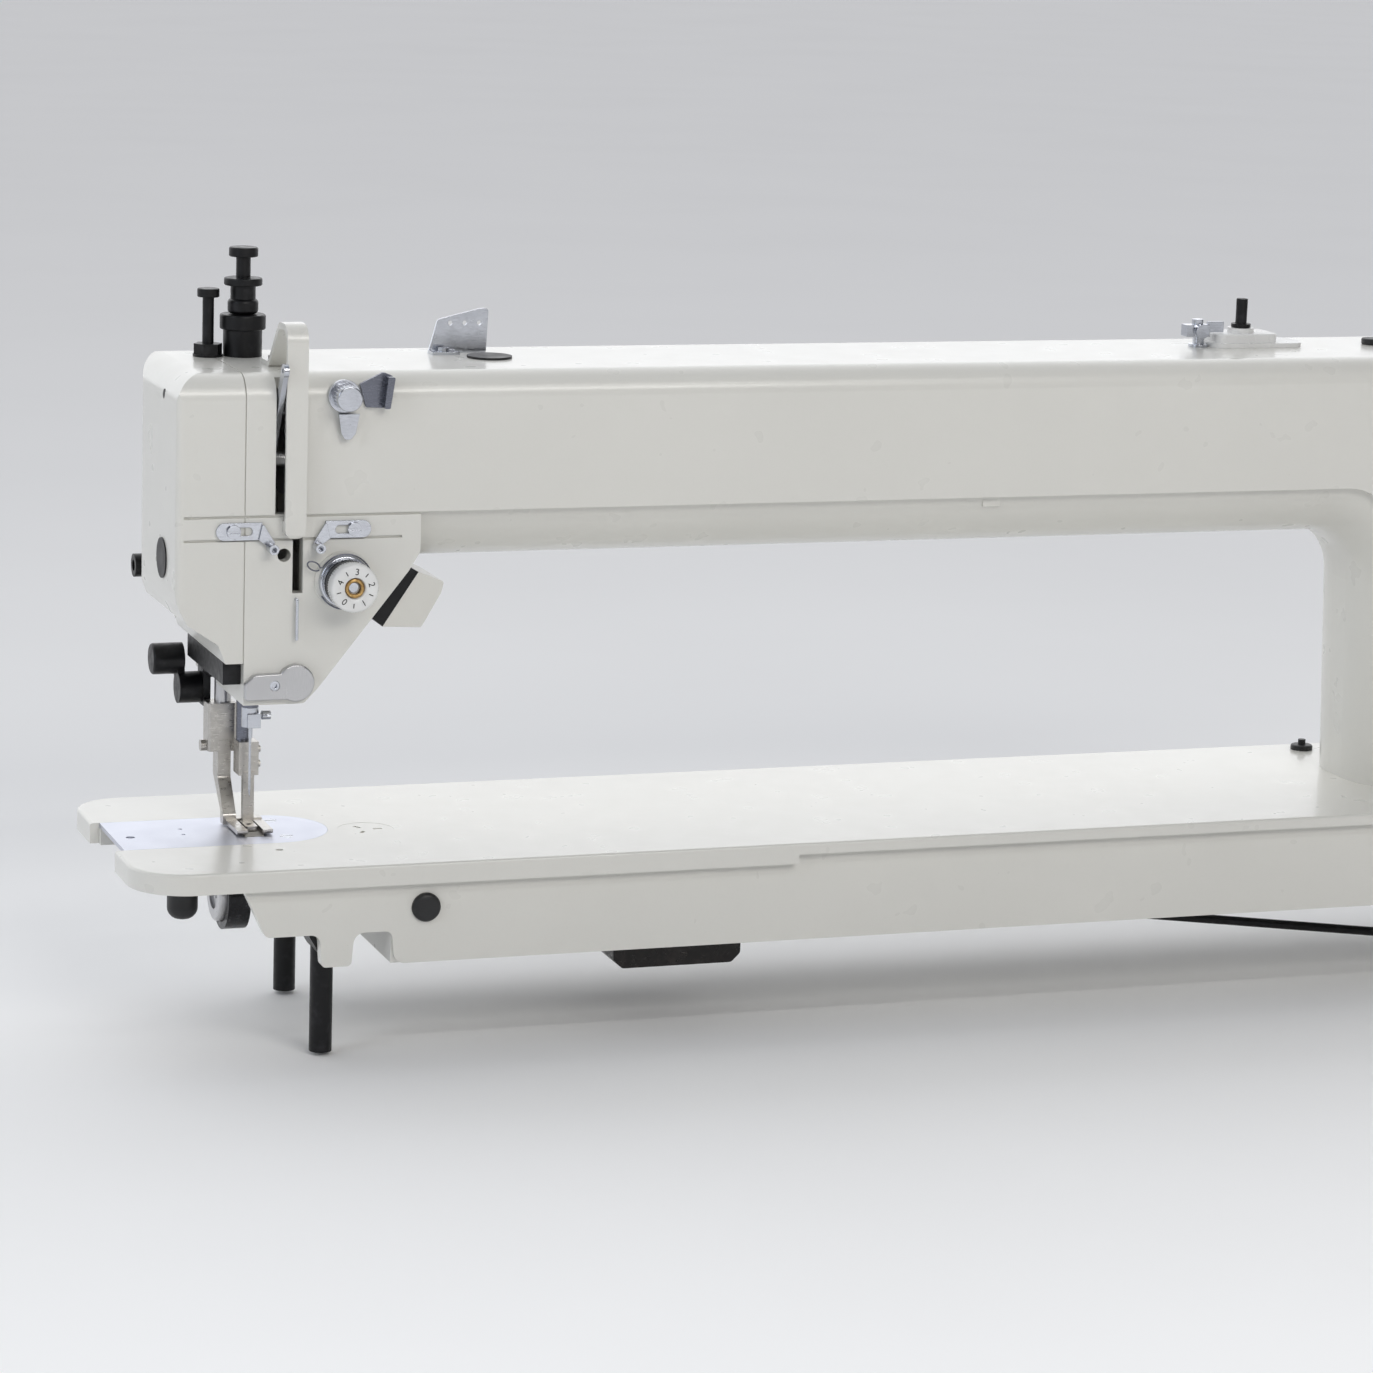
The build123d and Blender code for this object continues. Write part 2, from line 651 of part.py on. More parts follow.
def rear_cover():
    """Plate over the window in the back of the pillar."""
    plate = slab_xz(
        [(window_x0 - 8, window_z0 - 8), (window_x1 + 8, window_z0 - 8),
         (window_x1 + 8, window_z1 + 8), (window_x0 - 8, window_z1 + 8)],
        6, arm_back, arm_back + 2.5)
    for x, z in rear_screw_places:
        plate -= rod_y(arm_back - 1, arm_back + 4, x, z, 2.0 + slide_fit)
    return plate


def rear_cover_screws():
    """Four screws of the rear cover."""
    screws = []
    for x, z in rear_screw_places:
        head = rod_y(arm_back + 2.5, arm_back + 4.7, x, z, 4.0)
        screws.append(head + rod_y(arm_back + 0.05, arm_back + 2.5, x, z, 2.0))
    return Compound(screws)


def pillar_bolts():
    """Four bolts that hold the pillar down on the bed."""
    bolts = []
    for x in pillar_bolt_x:
        for y in pillar_bolt_y:
            head = rod_z(-rim_thick - 7, -rim_thick, x, y, pillar_bolt_r + 3)
            head -= rod_z(-rim_thick - 8, -rim_thick - 3, x, y, 3.5)
            bolts.append(head + rod_z(-rim_thick, 16, x, y, pillar_bolt_r))
    return Compound(bolts)


def link_cover():
    """Polished cover with a round end, screwed to the front of the nose."""
    y0 = -arm_front - 4.0
    bar = slab_xz([(-15.9, 81), (11, 81), (11, 95), (-11, 94.5), (-15.9, 90)],
                  [1.5, 0, 0, 5, 1.5], y0, -arm_front)
    plate = bar + rod_y(y0, -arm_front, 11, 89.5, 9.7)
    edge = plate.faces().sort_by(Axis.Y)[0].edges()
    plate = fillet(edge, 0.8)
    return plate - rod_y(y0 - 1, y0 + 2.6, -0.4, 88.5, 2.7)


def link_cover_screw():
    """Socket screw sunk in the polished cover."""
    y0 = -arm_front - 4.0
    return rod_y(y0 + 0.4, y0 + 2.6, -0.4, 88.5, 2.6) - rod_y(y0, y0 + 1.8, -0.4, 88.5, 1.3)


# ---- lamp under the head -------------------------------------------------------------------
def lamp_bracket():
    """Black plate on the sloping underside of the head."""
    outline = [(76.5, 144.5), (82.0, 141.5), (63.0, 113.0), (57.5, 117.5)]
    slope = slab_xz([(46, 113.0), (78, 154), (46, 154)], 0, -40, 30)
    return slab_xz(outline, 0, -30, 14) - slope - arm_casting_slope()


def arm_casting_slope():
    """The material of the nose on the lamp's side, used to trim the bracket."""
    return nose_body() + undercut_body()


def lamp_housing():
    """Cream box of the work lamp, open-mouthed towards the needle."""
    outline = [(82.0, 141.5), (96.0, 136.0), (94.5, 130.0), (84.0, 112.0), (63.0, 113.0)]
    body = slab_xz(outline, [0, 1.5, 2, 2, 0], -30, 14)
    body -= slab_xz([(66, 113), (82, 112.2), (84, 116), (70, 118)], 0, -26, 10)
    return body


# ---- main shaft and drive -------------------------------------------------------------------
def main_shaft_bushes():
    rings = []
    for x0, x1 in main_bush_spans:
        ring = rod_x(x0, x1, 0, shaft_z, main_bush_r)
        rings.append(ring - rod_x(x0 - 1, x1 + 1, 0, shaft_z, main_shaft_r + slide_fit))
    return Compound(rings)


def main_shaft():
    return rod_x(crank_right, arm_right + 42, 0, shaft_z, main_shaft_r)


def needle_crank():
    """Crank disc with its counterweight side and the pin that drives the needle bar."""
    disc = rod_x(crank_left, crank_right, 0, shaft_z, 25.0)
    for side in (-1, 1):
        disc -= box(crank_left - 1, crank_right + 1, 17 * side - 9, 17 * side + 9,
                    shaft_z + 6, shaft_z + 30)
    pin = rod_x(link_x1 + loose, crank_left, 0, shaft_z + crank_throw, crank_pin_r)
    return disc + pin


def grooved_pulley(z, r):
    """Toothed-belt pulley with a flange on each side."""
    x0 = belt_x - pulley_width / 2
    x1 = belt_x + pulley_width / 2
    wheel = rod_x(x0, x1, 0, z, r)
    teeth = int(r * 0.8)
    for tooth in range(teeth):
        angle = 2 * pi * tooth / teeth
        y = (r + 0.3) * cos(angle)
        wheel -= rod_x(x0 - 1, x1 + 1, y, z + (r + 0.3) * sin(angle), 1.2)
    return wheel


def upper_pulley():
    return grooved_pulley(shaft_z, upper_pulley_r) - rod_x(0, arm_right, 0, shaft_z, main_shaft_r)


def lower_pulley():
    return grooved_pulley(hook_shaft_z, lower_pulley_r) - rod_x(
        0, arm_right, 0, hook_shaft_z, hook_shaft_r)


def belt_loop(grow):
    """The closed path round both pulleys, grown outwards by a distance."""
    big = upper_pulley_r + loose + grow
    small = lower_pulley_r + loose + grow
    length = shaft_z - hook_shaft_z
    lean = (big - small) / length
    side = (1 - lean * lean) ** 0.5
    x0 = belt_x - pulley_width / 2 + 1
    x1 = belt_x + pulley_width / 2 - 1
    sides = [
        (big * side, shaft_z + big * lean), (-big * side, shaft_z + big * lean),
        (-small * side, hook_shaft_z + small * lean), (small * side, hook_shaft_z + small * lean),
    ]
    loop = slab_yz(sides, 0, x0, x1)
    return loop + rod_x(x0, x1, 0, shaft_z, big) + rod_x(x0, x1, 0, hook_shaft_z, small)


def timing_belt():
    return belt_loop(belt_thick) - belt_loop(0)


def handwheel():
    """Handwheel with a rounded rim, four holes in its web and a hub."""
    x0 = arm_right + 12
    x1 = x0 + 26
    rim = rod_x(x0, x1, 0, shaft_z, handwheel_r)
    rim = fillet(rim.edges(), 7)
    rim -= rod_x(x0 + 10, x1 + 1, 0, shaft_z, handwheel_r - 14)
    rim -= rod_x(x0 - 1, x0 + 4, 0, shaft_z, handwheel_r - 14)
    for turn in range(6):
        angle = radians(60 * turn + 30)
        y = 36 * cos(angle)
        rim -= rod_x(x0 - 1, x1 + 1, y, shaft_z + 36 * sin(angle), 10)
    hub = rod_x(arm_right + 3, x1 + 4, 0, shaft_z, 17)
    return rim + hub - rod_x(arm_right, x1 + 5, 0, shaft_z, main_shaft_r)


def hook_bushes():
    rings = []
    for x in cross_walls:
        ring = rod_x(x - 3.5, x + 13, 0, hook_shaft_z, hook_bush_r)
        rings.append(ring - rod_x(x - 5, x + 14, 0, hook_shaft_z, hook_shaft_r + slide_fit))
    return Compound(rings)


def hook_shaft():
    return rod_x(6.0, belt_x + 16, 0, hook_shaft_z, hook_shaft_r)


def rotary_hook():
    """Rotary hook: an open cup with a raised race and a pointed beak."""
    left = -15.0
    right = -3.0
    cup = rod_x(left, right, 0, hook_shaft_z, hook_r)
    cup -= rod_x(left - 1, right - 3, 0, hook_shaft_z, hook_r - 4)
    cup -= box(left - 1, left + 7, -4, 30, hook_shaft_z + 6, hook_shaft_z + 30)
    hub = rod_x(right, 6.0, 0, hook_shaft_z, hook_shaft_r + 1.5)
    return cup + hub


def bobbin_case():
    """Bobbin case with its latch lever across the open face."""
    case = rod_x(-19.0, -6.3, 0, hook_shaft_z, hook_r - 4.5)
    case = fillet(case.edges().sort_by(Axis.X)[0], 1.5)
    case -= rod_x(-20, -17.5, 0, hook_shaft_z, 9)
    case -= rod_x(-20, -10, 0, hook_shaft_z, 3)
    latch = box(-18.6, -17.2, -4, 14, hook_shaft_z - 2.5, hook_shaft_z + 2.5)
    finger = box(-21.0, -18.0, -3, 3, hook_shaft_z + 12, -rim_thick + 1.5)
    return case + latch - rod_x(-20, -10, 0, hook_shaft_z, 3) + finger


def hook_finger_bracket():
    """Arm under the bed that keeps the bobbin case from turning."""
    arm = box(-24.5, -21.0, -3, 36.0, -rim_thick - 9, -rim_thick)
    return arm


# ---- needle bar ------------------------------------------------------------------------------
def needle_bar_bushes():
    """Upper bush in the cast lug and lower bush in the nose."""
    z1 = upper_guide_z + upper_guide_h
    upper = rod_z(upper_guide_z, z1, 0, 0, needle_bar_r + 1.4)
    lower = rod_z(nose_bottom - 3, nose_bottom + 26, 0, 0, lower_bush_r)
    bore = rod_z(0, arm_top, 0, 0, needle_bar_r + slide_fit)
    return Compound([upper - bore, lower - bore])


def needle_bar():
    """Needle bar with the collar above the clamp and the stud that takes the link."""
    bar = rod_z(clamp_high, upper_guide_z + upper_guide_h + needle_stroke + 6, 0, 0, needle_bar_r)
    collar = rod_z(clamp_high, clamp_high + 7, 0, 0, needle_bar_r + 0.9)
    hub = rod_z(link_low - 6, link_low + 6, 0, 0, needle_bar_r + 1.2)
    return bar + collar + hub + rod_x(0, link_x1, 0, link_low, link_stud_r)


def needle_bar_link():
    """Connecting link between the crank pin and the needle bar."""
    link = box(link_x0, link_x1, -3, 3, link_low, link_high)
    link += rod_x(link_x0, link_x1, 0, link_low, 6) + rod_x(link_x0, link_x1, 0, link_high, 6.5)
    link -= rod_x(link_x0 - 1, link_x1 + 1, 0, link_low, link_stud_r + slide_fit)
    return link - rod_x(link_x0 - 1, link_x1 + 1, 0, link_high, crank_pin_r + slide_fit)


def needle_clamp():
    """Bright clamp at the foot of the needle bar, with a small thread eye."""
    clamp = rod_z(clamp_low, clamp_high, 0, 0, 4.6)
    clamp += box(-2.5, 4.5, -5.8, -2, clamp_low, clamp_high - 3)
    clamp -= rod_z(clamp_low - 1, clamp_high - 1.5, 0, -1.5, 1.15)
    clamp -= rod_x(1.0, 6, -1.5, clamp_high - 4.5, 1.25)
    return Compound([clamp, needle_clamp_screw()])


def needle_clamp_screw():
    """Black thumb screw at the right of the clamp."""
    z = clamp_high - 4.5
    screw = rod_x(1.2, 6.0, -1.5, z, 1.2) + rod_x(6.0, 10.5, -1.5, z, 2.4)
    return screw - box(8.6, 11, -4.5, 1.5, z - 0.5, z + 0.5)


def needle():
    """Needle: shank, blade and point."""
    shank = rod_z(clamp_low - 6, clamp_high - 1.5, 0, -1.5, 1.1)
    blade = rod_z(22, clamp_low - 6, 0, needle_y, 0.7)
    point = Pos(0, needle_y, 20) * Cone(0.1, 0.7, 4)
    return shank + blade + point


def take_up_lever():
    """Thread take-up lever: a hub, an arm out through the slot, and its eye."""
    arm_length = take_up_reach
    rise = 60.0
    x0 = 0.1
    x1 = 2.7
    blade = Pos((x0 + x1) / 2, 0, 0) * Box(x1 - x0, arm_length - 4, 6)
    arm = Pos(0, take_up_y, take_up_z) * Rot(-rise, 0, 0) * Pos(0, -arm_length / 2, 0) * blade
    tip_y = take_up_y - arm_length * cos(radians(rise))
    tip_z = take_up_z + arm_length * sin(radians(rise))
    lever = arm + rod_x(x0, x1, take_up_y, take_up_z, 6.5)
    lever += rod_x(x0, x1, tip_y, tip_z, 3.6)
    lever -= rod_x(x0 - 1, x1 + 1, tip_y, tip_z, 1.3)
    return lever - rod_x(x0 - 1, x1 + 1, take_up_y, take_up_z, take_up_stud_r + slide_fit)


def take_up_stud():
    """Fixed stud, seated in the wall, that the take-up lever swings on."""
    stud = rod_x(-1.5, web_left + 10, take_up_y, take_up_z, take_up_stud_r)
    return stud + rod_x(2.7 + loose, 9, take_up_y, take_up_z, 4.2)


# ---- feet --------------------------------------------------------------------------------------
def bar_guide_block():
    """Black guide block in the open bottom of the head, bored for both foot bars."""
    block = box(seam_x - 0.5, 13.95, needle_bar_r + 5.05, 36.0, block_low, block_high)
    block += box(seam_x - 9.5, seam_x - 0.1, -44.0, 36.0, block_high - 5, 99.7)
    block -= box(seam_x - 2, presser_x - presser_bar_r - 1, needle_bar_r + 4, 20, block_low - 1, 82)
    for x, y, r in ((walking_x, walking_y, walking_bar_r), (presser_x, presser_y, presser_bar_r)):
        block -= rod_z(block_low - 1, block_high + 1, x, y, r + slide_fit)
    return block


def walking_bar():
    """Bar of the needle foot, which walks beside the outer foot."""
    return rod_z(32, arm_top - 8 - walk_lift - 3, walking_x, walking_y, walking_bar_r)


def inner_foot():
    """Needle foot: clamp block with its two side screws, shank and a small sole."""
    block = box(-4.2, 6.5, 6.0, 18.0, 28, 46)
    block -= rod_z(27, 47, walking_x, walking_y, walking_bar_r)
    foot = block + box(-2.0, 4.0, 5.2, 9.0, 3, 30)
    sole = box(-3.0, 3.4, -7.0, 9.0, 1.0, 3.2)
    sole = fillet(long_edges(sole, Axis.Z, 2).sort_by(Axis.Y)[:2], 1.2)
    foot += sole
    foot -= rod_z(0, 4, 0, needle_y, 1.5)
    for z in (33, 41):
        foot += rod_x(6.0, 8.6, 12.0, z, 1.9)
    return foot


def presser_bar():
    """Bar of the outer foot, with the clamp block that the spring presses on."""
    top = arm_top - sleeve_depth - foot_lift - 3
    block = box(presser_x - 8, presser_x + 8, presser_y - 7, presser_y + 8, 138, 148)
    return block + rod_z(50, top, presser_x, presser_y, presser_bar_r)


def presser_spring():
    """Compression spring round the presser bar, as its closed outer form."""
    spring = rod_z(148, upper_guide_z, presser_x, presser_y, presser_bar_r + 2.4)
    return spring - rod_z(147, upper_guide_z + 1, presser_x, presser_y, presser_bar_r + 0.6)


def outer_foot_holder():
    """Steel holder at the foot of the presser bar, with its clamp screw."""
    block = box(presser_x - 9, presser_x + 6.3, presser_y - 6, presser_y + 7, 38, 64)
    block = chamfer(long_edges(block, Axis.Z, 20), 1.2)
    block += rod_x(presser_x - 12, presser_x - 8, presser_y, 40.5, 3.0)
    block -= rod_z(50, 66, presser_x, presser_y, presser_bar_r)
    return block - box(presser_x - 3.6, presser_x + 3.6, presser_y - 7, presser_y + 8, 37, 44)


def outer_foot():
    """Outer presser foot: a cranked shank and two toes that straddle the needle foot."""
    shank = [
        (presser_y - 5, 44), (presser_y + 6, 44), (presser_y + 6, 24), (16, 7), (16, 0.9),
        (9.5, 0.9), (9.5, 6), (presser_y - 5, 24),
    ]
    foot = slab_yz(shank, [0, 0, 3, 2, 0, 0, 2, 3], presser_x - 3.5, presser_x + 3.5)
    foot += box(-9.6, 9.6, 9.5, 16, 0.9, 4.0)
    for x0, x1 in ((-9.6, -3.9), (4.3, 9.6)):
        toe = box(x0, x1, -15.0, 10.0, 0.9, 3.2)
        foot += chamfer(toe.edges().filter_by(Axis.X).sort_by(Axis.Y)[:2].sort_by(Axis.Z)[0], 1.2)
    return foot


def hand_lifter():
    """Lever behind the head that lifts the outer foot: two drums joined by a web."""
    upper = rod_x(-42.4, -25.5, lifter_y + 5, lifter_z + 15, 8.4)
    lower = rod_x(-29.2, -17.0, lifter_y, lifter_z, 8.4)
    web = slab_yz(
        [(lifter_y - 5, lifter_z), (lifter_y + 5, lifter_z - 2),
         (lifter_y + 10, lifter_z + 14), (lifter_y, lifter_z + 17)], 0, -29.2, -25.5)
    lever = fillet(upper.edges().sort_by(Axis.X)[0], 1.5) + lower + web
    return lever - rod_x(-30, -16, lifter_y, lifter_z, lifter_pin_r + slide_fit)


def lifter_bracket():
    """Bright bracket under the back of the head that carries the lifter's pin."""
    arm = box(-16.7, -12.7, 36.05, 49.0, 60, block_high)
    pin = rod_x(-29.2, -16.7, lifter_y, lifter_z, lifter_pin_r)
    return arm + pin


# ---- threading parts ---------------------------------------------------------------------------
def tension_seat():
    """Bright seat of the thread tension, with its post."""
    y0 = -arm_front - 2
    seat = rod_y(y0 - 3.5, y0, tension_x, tension_z, 13.6)
    seat = fillet(seat.edges().sort_by(Axis.Y)[0], 1.0)
    return seat + rod_y(y0 - 19, y0 - 3.5, tension_x, tension_z, 2.6)


def tension_base():
    """Seat, post and the pair of dished discs that pinch the thread."""
    y0 = -arm_front - 5.8
    discs = rod_y(y0 - 1.2, y0, tension_x, tension_z, 12.5)
    second = rod_y(y0 - 3.2, y0 - 2.0, tension_x, tension_z, 12.5)
    hub = rod_y(y0 - 3.2, y0, tension_x, tension_z, 5.0)
    discs += second + hub
    discs -= rod_y(y0 - 5, y0 + 1, tension_x, tension_z, 2.6 + slide_fit)
    return Compound([tension_seat(), discs])


def tension_dial():
    """Knurled dial with a recess in its face."""
    y1 = -arm_front - 9.5
    y0 = y1 - 15.0
    dial = rod_y(y0, y1, tension_x, tension_z, 13.0)
    dial = fillet(dial.edges().sort_by(Axis.Y)[0], 0.8)
    dial -= rod_y(y0 - 1, y0 + 4, tension_x, tension_z, 5.0)
    for tooth in range(40):
        angle = 2 * pi * tooth / 40
        x = tension_x + 13.2 * cos(angle)
        dial -= rod_y(y0 + 1.5, y1 + 1, x, tension_z + 13.2 * sin(angle), 0.55)
    return dial - rod_y(y0 - 1, y1 + 1, tension_x, tension_z, 2.6 + slide_fit)


def check_spring():
    """Thread check spring: a wire loop beside the tension seat."""
    y = -arm_front - 4.0
    turn = Pos(tension_x, y, tension_z) * Rot(0, 27, 0)
    ring = turn * Rot(90, 0, 0) * (Cylinder(14.8, 0.9) - Cylinder(13.9, 2))
    arm = turn * Pos(-15.6, 0, 0) * Box(2.4, 0.9, 0.9)
    eye = turn * Pos(-19.7, 0, 0) * Rot(90, 0, 0) * (Cylinder(3.4, 0.9) - Cylinder(2.5, 2))
    return ring + arm + eye


def pretension_base():
    """Seat and post of the upper tension, with the bright tongue under it."""
    y0 = -arm_front
    base = rod_y(y0 - 3, y0, pretension_x, pretension_z, 8.4)
    base += rod_y(y0 - 5.2, y0 - 3, pretension_x, pretension_z, 7.0)
    base += rod_y(y0 - 12, y0 - 3, pretension_x, pretension_z, 2.0)
    return base + pretension_tongue()


def pretension_knob():
    """Small knurled knob of the upper tension."""
    y1 = -arm_front - 5.5
    y0 = y1 - 8.5
    knob = rod_y(y0, y1, pretension_x, pretension_z, 6.6)
    knob = fillet(knob.edges().sort_by(Axis.Y)[0], 0.8)
    for tooth in range(24):
        angle = 2 * pi * tooth / 24
        x = pretension_x + 6.8 * cos(angle)
        knob -= rod_y(y0 + 1, y1 + 1, x, pretension_z + 6.8 * sin(angle), 0.5)
    return knob - rod_y(y0 + 1.5, y1 + 1, pretension_x, pretension_z, 2.0 + slide_fit)


def pretension_plate():
    """Dark bent plate beside the upper tension."""
    y0 = -arm_front
    outline = [(42.5, 244), (55, 250), (60, 248), (57.5, 231.5), (46, 232)]
    plate = slab_xz(outline, [1, 2, 1, 1, 1], y0 - 2.2, y0)
    plate += slab_xz([(56.0, 248), (59.8, 248), (57.4, 231.8), (54.2, 231.8)], 0.8, y0 - 8, y0 - 2.0)
    return plate


def pretension_tongue():
    """Bright tongue under the upper tension."""
    outline = [(31, 229), (42, 229), (40, 219), (37.5, 216), (34.5, 216), (32.5, 219)]
    tongue = slab_xz(outline, [0, 0, 1.5, 1.5, 1.5, 1.5], -arm_front - 5, -arm_front - 3.6)
    return tongue + box(32, 41, -arm_front - 5, -arm_front, 227, 229)


def thread_guide(x_screw, direction):
    """Slotted bright plate with a bent eye; direction is +1 when the eye is at its right."""
    y1 = -arm_front
    y0 = y1 - 1.6
    plate = box(-9, 15, y0, y1, lip_z - 12.5, lip_z - 3.5)
    plate = fillet(long_edges(plate, Axis.Y, 1).sort_by(Axis.X)[:2], 4.4)
    plate -= slab_xz([(-2.7, -2.2), (10, -2.2), (10, 2.2), (-2.7, 2.2)], 2.1, y0 - 1, y1 + 1).moved(
        Location((0, 0, guide_screw_z)))
    plate += slab_xz([(13, -4.4), (15, 4.4), (21.5, -6.0), (20, -9.5)], 0.6, y0 - 1.4, y0).moved(
        Location((0, 0, guide_screw_z)))
    plate += rod_y(y0 - 8.0, y0, 19.5, lip_z - 16.5, 2.6)
    plate -= rod_y(y0 - 9.0, y0 - 4.0, 19.5, lip_z - 16.5, 1.4)
    if direction < 0:
        plate = mirror(plate, Plane.YZ)
    return plate.moved(Location((x_screw, 0, 0)))


def left_thread_guide():
    return thread_guide(left_guide_x, 1)


def right_thread_guide():
    return thread_guide(right_guide_x, -1)


def thread_guide_screws():
    """Slotted screws of the two thread guides on the head's front."""
    face = -arm_front - 1.6
    places = (left_guide_x, right_guide_x)
    return Compound([front_screw(x, guide_screw_z, face, 3.6, 1.8, 1.6) for x in places])


def wire_thread_hook():
    """Bent wire guide below the take-up slot."""
    x = 11.0
    y = -arm_front
    wire = rod_y(y - 3.0, y, x, 133.0, 0.8)
    return wire + rod_z(112, 133.0, x, y - 3.0, 0.8)


def top_thread_guide():
    """Three-hole bright plate that stands on the arm's top."""
    x = 104.0
    y = 26.0
    outline = [(x - 3, arm_top), (x + 29, arm_top), (x + 30, arm_top + 24), (x + 25, arm_top + 23.5),
               (x + 2, arm_top + 18)]
    plate = slab_xz(outline, [0, 1, 2, 2, 3], y, y + 1.6)
    for hole_x in (x + 9, x + 17, x + 25):
        plate -= rod_y(y - 1, y + 3, hole_x, arm_top + 16, 1.3)
    plate += box(x - 3, x + 12, y - 9, y + 0.5, arm_top, arm_top + 1.6)
    return plate - rod_z(arm_top - 1, arm_top + 3, 108.0, 21.0, 1.5 + slide_fit)


def top_guide_screw():
    return cap_screw(108.0, 21.0, arm_top + 1.6, 3.0, 2.0, 1.5)


def sight_window():
    """Round oil window in the arm's top, with a bright ring."""
    return rod_z(arm_top, arm_top + 1.2, 129.0, 6.0, 12.0)


def regulator_sleeve():
    """Threaded black sleeve of the foot pressure regulator, with its lock collar."""
    x, y = regulator_x, regulator_y
    sleeve = rod_z(arm_top - sleeve_depth, arm_top, x, y, regulator_r)
    sleeve += rod_z(arm_top, arm_top + 14, x, y, 10.2)
    collar = fillet(rod_z(arm_top + 14, arm_top + 22, x, y, 12.0).edges(), 1.0)
    sleeve += collar
    bore = rod_z(arm_top - sleeve_depth - 1, arm_top + 23, x, y, regulator_screw_r + slide_fit)
    return sleeve - bore


def regulator_screw():
    """Pressure regulating screw with its flange, bulge and top button."""
    x, y = regulator_x, regulator_y
    screw = rod_z(arm_top - sleeve_depth + 2, arm_top + 22.3, x, y, regulator_screw_r)
    bulge = fillet(rod_z(arm_top + 22.3, arm_top + 30, x, y, 8.0).edges(), 2.0)
    screw += bulge + rod_z(arm_top + 30, arm_top + 37, x, y, 6.6)
    screw += fillet(rod_z(arm_top + 37, arm_top + 41, x, y, 10.0).edges(), 0.8)
    screw += rod_z(arm_top + 41, arm_top + 52, x, y, 3.8)
    screw += fillet(rod_z(arm_top + 52, arm_top + 57, x, y, 7.6).edges(), 0.8)
    return screw


def stop_screw():
    """Tall headed screw beside the regulator, which limits the foot's travel."""
    x, y = post_x, post_y
    screw = rod_z(arm_top - 22, arm_top + 31, x, y, post_r)
    screw += fillet(rod_z(arm_top + 31, arm_top + 35.5, x, y, 5.8).edges(), 0.6)
    nut = extrude(Plane((x, y, arm_top + 1.2)) * RegularPolygon(7.6, 6), 5.5)
    return screw + nut + rod_z(arm_top, arm_top + 1.2, x, y, 7.9)


# ---- bobbin winder -----------------------------------------------------------------------------
def winder_base():
    """White base of the bobbin winder: a flat foot, a raised block and a small hub."""
    x, y = winder_x, winder_y
    foot = [(x - 22, y - 14), (x + 34, y - 14), (x + 34, y + 10), (x + 20, y + 18), (x - 22, y + 18)]
    block = [(x - 19, y - 11), (x + 19, y - 11), (x + 19, y + 13), (x - 19, y + 13)]
    base = slab_xy(foot, 7, arm_top, arm_top + 2.5)
    raised = slab_xy(block, 5, arm_top + 2, arm_top + winder_hub - 2.5)
    base += fillet(raised.edges().group_by(Axis.Z)[-1], 1.2)
    base += rod_z(arm_top + 2, arm_top + winder_hub, x, y, 7.5)
    return base - rod_z(arm_top - 1, arm_top + 12, x, y, winder_journal_r + slide_fit)


def winder_spindle():
    """Black spindle that takes the bobbin, with its friction wheel inside the arm."""
    x, y = winder_x, winder_y
    collar = arm_top + winder_hub + loose
    spindle = rod_z(arm_top - 20, collar, x, y, winder_journal_r)
    spindle += rod_z(collar, collar + 2, x, y, 5.5)
    spindle += rod_z(collar + 2, collar + 16, x, y, bobbin_pin_r)
    spindle -= box(x - 4, x + 4, y - 0.5, y + 0.5, collar + 12, collar + 17)
    return spindle + rod_z(arm_top - 18, arm_top - 12, x, y, 12)


def winder_tension_post():
    """Small bright thread guide and tension for winding bobbins."""
    x = winder_x - 28
    y = 14.0
    post = rod_z(arm_top, arm_top + 1.6, x, y, 5.5) + rod_z(arm_top + 1.6, arm_top + 6, x, y, 3.2)
    post += box(x - 9, x + 5, y - 4, y + 4, arm_top + 6, arm_top + 12.5)
    post += rod_y(y - 6.5, y - 4, x - 0.5, arm_top + 9.2, 4.0)
    post += box(x + 5, x + 15, y - 0.8, y + 0.8, arm_top + 8, arm_top + 14)
    return post + rod_z(arm_top + 12.5, arm_top + 15.5, x - 1, y, 3.2)


def arm_oil_plug():
    """Black plug on the arm's top above the pillar."""
    return fillet(rod_z(arm_top, arm_top + 3.5, throat_length + 12, 14.0, 6.5).edges(), 0.8)


# ---- pillar controls ---------------------------------------------------------------------------
def stitch_dial():
    """Stitch-length dial on the pillar's front, with its stem."""
    y1 = -arm_front - loose
    dial = rod_y(y1 - 15, y1, dial_x, dial_z, 25)
    dial = fillet(dial.edges().sort_by(Axis.Y)[0], 2.0)
    for tooth in range(30):
        angle = 2 * pi * tooth / 30
        x = dial_x + 25.6 * cos(angle)
        dial -= rod_y(y1 - 16, y1 - 4, x, dial_z + 25.6 * sin(angle), 1.3)
    dial -= rod_y(y1 - 16, y1 - 12, dial_x, dial_z, 10)
    return dial + rod_y(y1, core_front + 12, dial_x, dial_z, 6.0)


def reverse_lever():
    """Reverse-feed lever that comes out of the pillar's front and is pressed down."""
    y = core_front + 18
    lever = rod_x(dial_x - 4, dial_x + 4, y, reverse_z, 7)
    lever += box(dial_x - 3.5, dial_x + 3.5, -arm_front - 42, y, reverse_z - 3, reverse_z + 3)
    grip = box(dial_x - 14, dial_x + 14, -arm_front - 62, -arm_front - 38,
               reverse_z - 4.5, reverse_z + 4.5)
    lever += fillet(grip.edges(), 3.5)
    return lever - rod_x(dial_x - 5, dial_x + 5, y, reverse_z, lever_pin_r + slide_fit)


